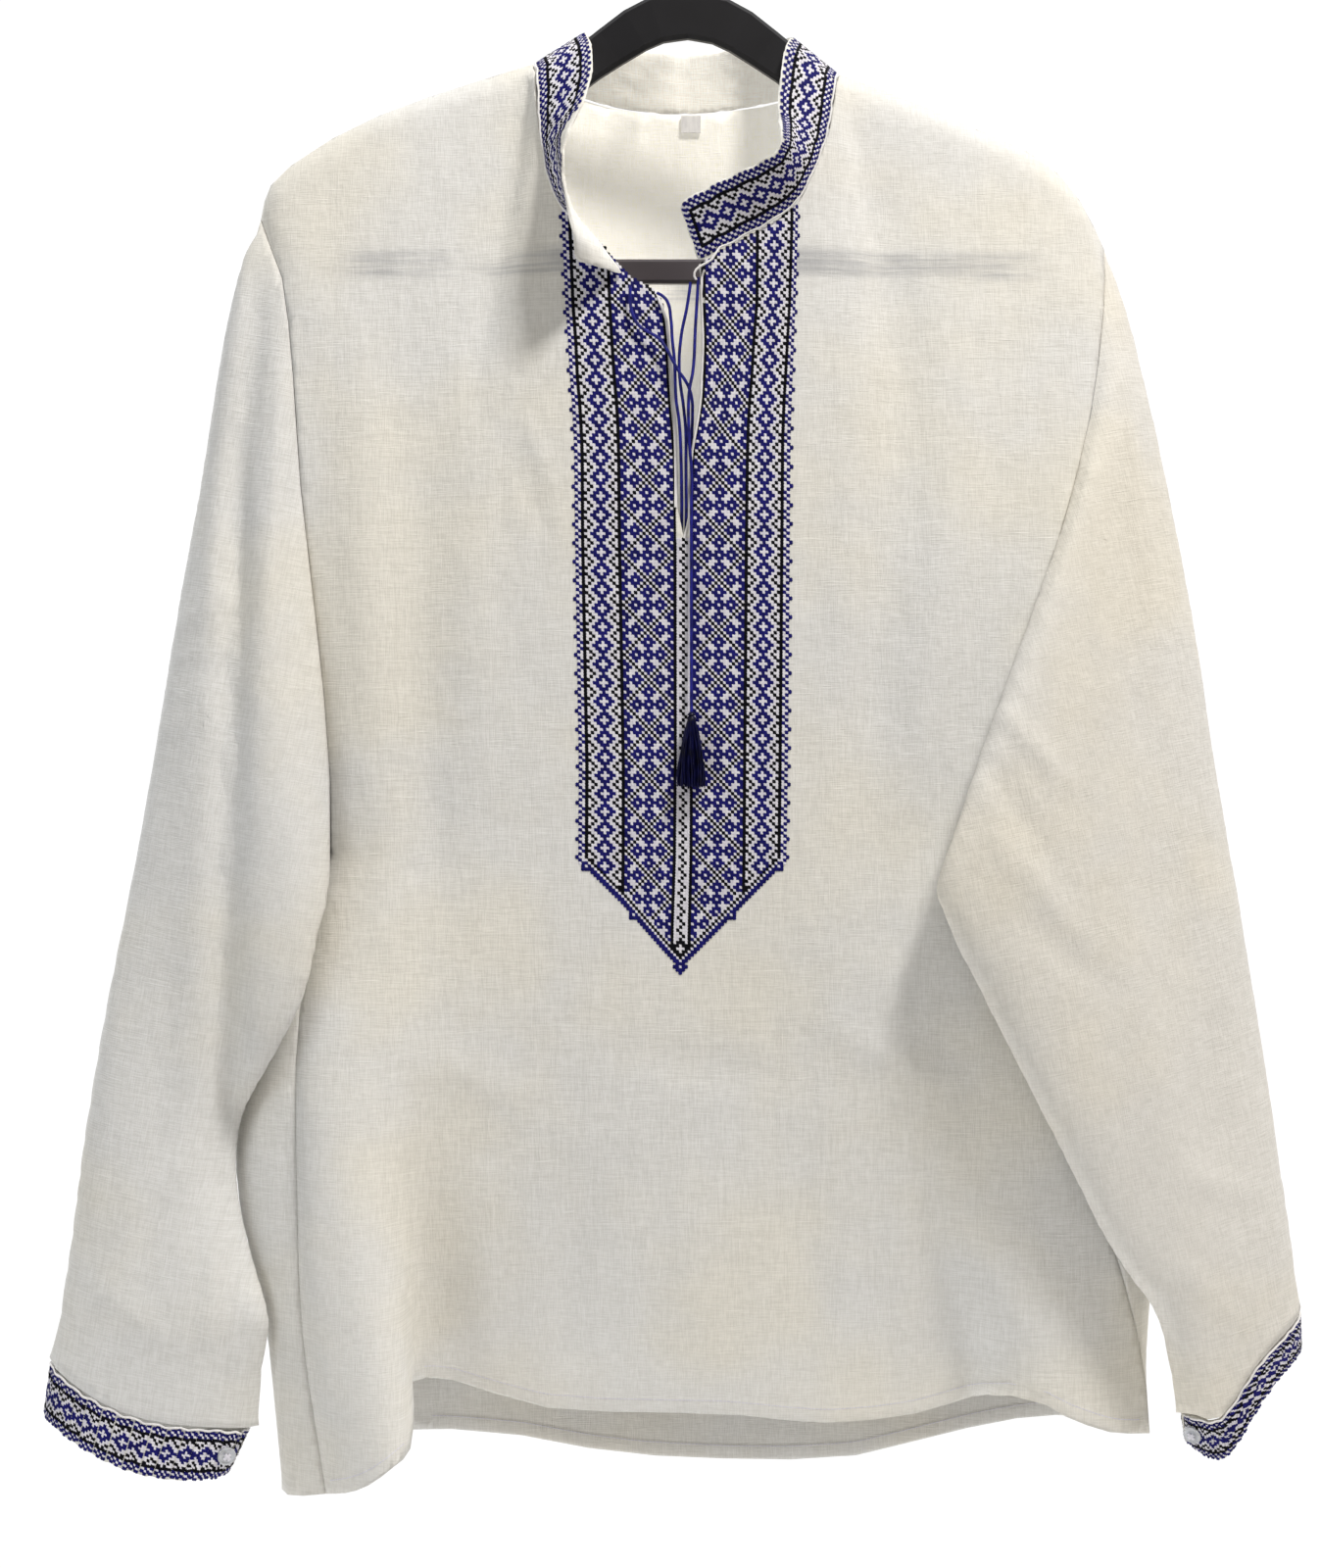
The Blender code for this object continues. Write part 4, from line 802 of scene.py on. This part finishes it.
def band_cells(columns, ends):
    """Cells of a band from its columns; ends gives the framing at each end."""
    cells = []
    for number, column in enumerate(columns):
        before = columns[max(number - 1, 0)]
        after = columns[min(number + 1, len(columns) - 1)]
        from_end = min(number if ends[0] else 99, len(columns) - 1 - number if ends[1] else 99)
        for row, (hit, normal) in column.items():
            if row not in before or row not in after:
                continue
            thread = band_thread(number + ends[2], row)
            if from_end <= 1 and ends[3]:
                thread = BLUE if (number + row) % 2 else WHITE
            elif from_end == (2 if ends[3] else 0) and abs(row) <= 6:
                thread = BLACK
            if thread is None:
                continue
            right = after[row][0] - before[row][0]
            right = (right - normal * right.dot(normal))
            if right.length == 0 or right.length > 12 * MM:
                continue
            size = min(right.length / (2 if before is not after else 1), BAND_CELL * 1.15 * MM)
            right.normalize()
            cells.append((thread, (hit + normal * 0.08 * MM, right * size,
                                   normal.cross(right) * BAND_CELL * MM,
                                   normal * STITCH_RISE * min(1, 0.35 + abs(normal.y)) * MM)))
    return cells


collar_tree = tree_of(bands["collar"])
path = smooth_path(NECKLINE, BAND_CELL)
columns = []
for number, (base, share) in enumerate(path):
    lean = lean_at(share)
    before, after = path[max(number - 1, 0)][0], path[min(number + 1, len(path) - 1)][0]
    out = lean.cross(after - before).normalized()
    rows = range(-BAND_EDGE, 1 + (COLLAR_END_ROW if share < COLLAR_END else BAND_EDGE))
    columns.append(band_column(collar_tree, base, lean, out, 46, rows))
columns = [column for column in columns if column]
collar_work = worked("collar_stitch", band_cells(columns, (True, True, 0, True)))


def piped(name, places, radius=0.62):
    """A thin round piping sewn down along the places, in metres."""
    curve = bpy.data.curves.new(name, "CURVE")
    curve.dimensions = "3D"
    curve.bevel_depth = radius * MM
    curve.bevel_resolution = 2
    curve.resolution_u = 2
    curve.use_fill_caps = True
    run = curve.splines.new("BEZIER")
    run.bezier_points.add(len(places) - 1)
    for point, place in zip(run.bezier_points, places):
        point.co = place
        point.handle_left_type = point.handle_right_type = "AUTO"
    piece = bpy.data.objects.new(name, curve)
    bpy.context.scene.collection.objects.link(piece)
    curve.materials.append(piping)
    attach(piece, "root")
    return piece


def beyond(columns, last, previous):
    """One cell past a band's edge row, on every second column that has it."""
    return [column[last][0] + (column[last][0] - column[previous][0]) * 0.75
            + column[last][1] * 0.35 * MM
            for column in columns[::2] if last in column and previous in column]


piping = thread_finish("piping", (0.74, 0.73, 0.74, 1), (0.90, 0.89, 0.89, 1), 0.75, 500)
# The piping's free end curls over the right corner of the neck, where the ties start.
# columns: x, y, z in mm from the collar to the tip
PIPING_CURL = ((12.4, -37.6, -221.9), (7.6, -38.0, -224.9), (3.8, -38.6, -227.7),
               (2.9, -38.4, -231.0), (4.0, -38.0, -232.9))
curl = [Vector(place) * MM for place in PIPING_CURL]
line = [place for place in beyond(columns, -BAND_EDGE, 1 - BAND_EDGE)
        if not (place.y < -30 * MM and -10 * MM < place.x < 16 * MM)]
collar_work.append(piped("collar_piping", line + curl))

# Cuffs. Each is a strip wound once round the wrist, its stitched outer end on
# the front near the fold under the arm.
# columns: fold over the arm x, y, z, fold under it x, y, z, depth front, back
CUFF_TOP = {"left": (-344, -6, -807, -230, -13, -842, 22, 17),
            "right": (330, -6, -780, 258, -30, -831, 22, 18)}
CUFF_BOTTOM = {"left": (-348, -6, -838, -243, -14, -869, 21, 15),
               "right": (331, -5, -802, 262, -20, -851, 21, 16)}


# how the front sags: by how much, its middle and half width as shares of the way
# from the fold over the arm to the one under it
CUFF_SAG = {"left": ((10.5, 0.41, 0.39), (9.5, 0.50, 0.38)),
            "right": ((15.5, 0.68, 0.17), (21, 0.67, 0.20))}


def wrist_point(edge, sag, turn):
    """turn: 0 at the fold over the arm, 1 at the one under it, on to 2 behind."""
    over, under = Vector(edge[0:3]), Vector(edge[3:6])
    level = turn if turn <= 1 else 2 - turn
    across = 0.5 * math.cos(math.pi * level) + 0.5 * (1 - 2 * level)
    depth = -edge[6] if turn <= 1 else edge[7]
    point = (over + under) / 2 + (over - under) / 2 * across
    swell = math.sin(math.pi * level)
    point.y += depth * swell ** 0.62
    if turn <= 1:
        point.z -= sag[0] * math.exp(-((level - sag[1]) / sag[2]) ** 2) * swell ** 0.6
    return point * MM


cuff_work = {}
for side in ("left", "right"):
    tree = tree_of(bands[f"cuff_{side}"])
    edges = [(table[side], sag) for table, sag in zip((CUFF_TOP, CUFF_BOTTOM), CUFF_SAG[side])]
    loop = [(0.985 - step / 90) % 2 for step in range(178)]
    middle = [sum((wrist_point(*edge, turn) for edge in edges), Vector()) / 2 / MM
              for turn in loop]
    marks = smooth_path(middle, BAND_CELL)
    centre = sum((mark[0] for mark in marks), Vector()) / len(marks)
    columns = []
    for number, (place, share) in enumerate(marks):
        turn = loop[min(round(share * (len(loop) - 1)), len(loop) - 1)]
        top, bottom = (wrist_point(*edge, turn) for edge in edges)
        lean = (bottom - top).normalized()
        before = marks[max(number - 1, 0)][0]
        after = marks[min(number + 1, len(marks) - 1)][0]
        out = (after - before).cross(lean).normalized()
        if out.dot(place - centre) < 0:
            out = -out
        columns.append(band_column(tree, top - lean * 6 * MM, lean, out, 56,
                                   range(-BAND_EDGE, BAND_EDGE + 1)))
    columns = [column for column in columns if column]
    cuff_work[side] = worked(f"cuff_{side}_stitch",
                             band_cells(columns, (True, False, 2, False)))
    cuff_work[side].append(piped(f"cuff_{side}_piping",
                                 beyond(columns, -BAND_EDGE, 1 - BAND_EDGE)))

# ---------------------------------------------------------------- hems
# The lower edges are turned up twice, about 9 mm deep, and sewn down with one
# line of white machine stitches, on the front and, seen below it, on the back.
hem_linen = linen_finish("hem_linen")
HEM_STEP = 2.5
HEM_LEVELS = (0, 2, 5, 7, 9)
HEM_SEAM = 7
MACHINE_STITCH = 2.0


def stitch_shape():
    """One machine stitch, a low ridge along x in a cell of side 1."""
    mesh = bmesh.new()
    for vert in bmesh.ops.create_grid(mesh, x_segments=3, y_segments=2, size=0.5)["verts"]:
        high = 0.2 if abs(vert.co.y) < 0.1 else 0.0
        vert.co = Vector((vert.co.x * 0.82, vert.co.y, high * (1 - 3 * vert.co.x ** 2)))
    mesh.verts.ensure_lookup_table()
    points = np.array([vert.co[:] for vert in mesh.verts])
    faces = np.array([[vert.index for vert in face.verts] for face in mesh.faces])
    mesh.free()
    return points, faces


def hem(name, tree, start, end, lowest):
    """Turned-up strip and its stitches along the lower edge that faces the front."""
    def cast(x, height):
        hit, normal = tree.ray_cast(Vector((x, -400, height + 0.5)) * MM,
                                    Vector((0, 1, 0)))[:2]
        if hit is None or abs(normal.y) < 0.3:
            return None
        return hit, normal if normal.y < 0 else -normal

    edge = []
    for step in range(int((end - start) / HEM_STEP) + 1):
        x = start + step * HEM_STEP
        low = next((height for height in range(lowest, lowest + 120) if cast(x, height)), None)
        if low is not None:
            edge.append((x, low))
    columns = []
    for number, (x, _) in enumerate(edge):
        reach = min(3, number, len(edge) - 1 - number)
        near = [low for _, low in edge[number - reach:number + reach + 1]]
        column = [cast(x, sum(near) / len(near) + up) for up in range(10)]
        if None not in column:
            columns.append(column)
    mesh = bmesh.new()
    verts = bmesh.ops.create_grid(mesh, x_segments=len(columns) - 1, y_segments=4,
                                  size=0.5)["verts"]
    verts = sorted(verts, key=lambda vert: (round(vert.co.x, 5), vert.co.y))
    for number, vert in enumerate(verts):
        along, up = divmod(number, 5)
        hit, normal = columns[along][HEM_LEVELS[up]]
        sunk = up in (0, 4) or along in (0, len(columns) - 1)
        vert.co = hit + normal * (-0.1 if sunk else 0.3) * MM
    if sum(face.normal.y for face in mesh.faces) > 0:
        bmesh.ops.reverse_faces(mesh, faces=mesh.faces)
    strip = shown(name, mesh, hem_linen)
    line = smooth_path([(column[HEM_SEAM][0] + column[HEM_SEAM][1] * 0.34 * MM) / MM
                        for column in columns], MACHINE_STITCH)
    places = []
    for (place, share), (after, _) in zip(line, line[1:]):
        normal = columns[min(int(share * len(columns)), len(columns) - 1)][HEM_SEAM][1]
        right = (after - place).normalized()
        places.append(((place + after) / 2, right * MACHINE_STITCH * MM,
                       normal.cross(right).normalized() * 0.55 * MM, normal * MM))
    sewn = repeated(name + "_stitches", stitch_shape(), places, stitch_thread[WHITE])
    return [strip, sewn]


back_tree = tree_of(back)
front_hems = hem("front_hem", front_tree, -143, 243, -900)
front_hems += hem("front_hem_corner", front_tree, -187, -147, -900)
back_hems = hem("back_hem", back_tree, -142, 236, -900)

# ---------------------------------------------------------------- buttons
# Clear four-hole shirt buttons, sewn through the outer end of each cuff with
# two crossed white threads.
clear, clear_shader, place = finish("clear_button", 0.1, Transmission_Weight=0.5, IOR=1.5,
                                    Coat_Weight=0.6)
wire(clear, clear_shader, place.noise(200).between((0.74, 0.78, 0.84, 1), (0.93, 0.95, 0.98, 1)),
     place.noise(260), 0.08, 0.0002)
for side in ("left", "right"):
    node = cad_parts[f"button_{side}"]
    node.data.materials.clear()
    node.data.materials.append(clear)
    corners = np.array([vert.co[:] for vert in node.data.vertices])
    middle = corners.mean(axis=0)
    axes = np.linalg.svd(corners - middle)[2]
    right, up, out = (Vector(axis) for axis in axes)
    if out.y > 0:
        out = -out
    centre = Vector(middle) + out * 1.0 * MM
    thread_legs = repeated(f"button_{side}_thread", cross_shape(1.3, 0.5), [
        (centre, right * 3.4 * MM, up * 3.4 * MM, out * 3 * MM)], stitch_thread[WHITE])
    cuff_work[side].append(thread_legs)

# ---------------------------------------------------------------- bindings and neck loop
# A narrow white piping finishes each side of the slit. The blank loop inside
# the back of the neck is a folded tape.
# columns: x and height of the right piping, from the neck down; the last three
# points follow the cut edge of the front
SLIT_PIPING = (
    (8.4, -227), (7.0, -231), (6.8, -235), (6.5, -240), (7.5, -261), (7.35, -271),
    (6.8, -284), (6.5, -292), (5.5, -302), (3.75, -312), (1.9, -323), (0.4, -344),
    (0.4, -357), (-2.5, -369))
edge = [vert.co.copy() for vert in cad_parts["slit_binding_right"].data.vertices]
places = []
for x, z in SLIT_PIPING:
    nearest = min(edge, key=lambda corner: abs(corner.z - z * MM))
    places.append(Vector((x * MM, nearest.y, z * MM)))
slit_piping = piped("slit_piping_right", places, 0.7)
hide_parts("slit_binding_right")
for name in ("slit_binding_left", "neck_loop"):
    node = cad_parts[name]
    node.data.materials.clear()
    node.data.materials.append(piping)

# ---------------------------------------------------------------- cut of the cloth
# Every cut piece is a sheet of linen that hangs from the hanger, with the work
# that is sewn on it. Here the chest stitches and the front hems are only added
# into a list that is not kept.
chest_work + front_hems

# ---------------------------------------------------------------- hanger
# Moulded black plastic arms with a flat trouser bar, and a bright wire hook.
plastic, plastic_shader, place = finish("hanger_plastic", 0.45, Specular_IOR_Level=0.35)
wire(plastic, plastic_shader, place.noise(30).between((0.006, 0.006, 0.008, 1),
                                                      (0.014, 0.014, 0.018, 1)),
     place.noise(900, 3), 0.12, 0.0002)
wire_steel, steel_shader, place = finish("hook_steel", 0.22, 1.0)
wire(wire_steel, steel_shader, place.noise(60).between((0.55, 0.55, 0.57, 1),
                                                       (0.72, 0.72, 0.74, 1)),
     place.noise(700, 2, (1, 1, 0.1)), 0.08, 0.0001)
bar_plastic, bar_shader, place = finish("bar_plastic", 0.38, Specular_IOR_Level=0.5)
wire(bar_plastic, bar_shader, place.noise(30).between((0.050, 0.042, 0.050, 1),
                                                      (0.082, 0.070, 0.080, 1)),
     place.noise(900, 3), 0.12, 0.0002)
for name, material in (("hanger", plastic), ("hanger_bar", bar_plastic),
                       ("hook", wire_steel)):
    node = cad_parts[name]
    node.data.materials.clear()
    node.data.materials.append(material)

# ---------------------------------------------------------------- floor
mesh = bmesh.new()
bmesh.ops.create_circle(mesh, cap_ends=True, segments=96, radius=1.15)
bmesh.ops.translate(mesh, vec=(0, 0, -1.25), verts=mesh.verts)
data = bpy.data.meshes.new("floor")
mesh.to_mesh(data)
mesh.free()
floor = bpy.data.objects.new("floor", data)
bpy.context.scene.collection.objects.link(floor)
pale, pale_shader, place = finish("floor_paper", 0.9)
wire(pale, pale_shader, place.noise(3).between((0.93, 0.93, 0.93, 1), (0.95, 0.95, 0.95, 1)))
data.materials.append(pale)
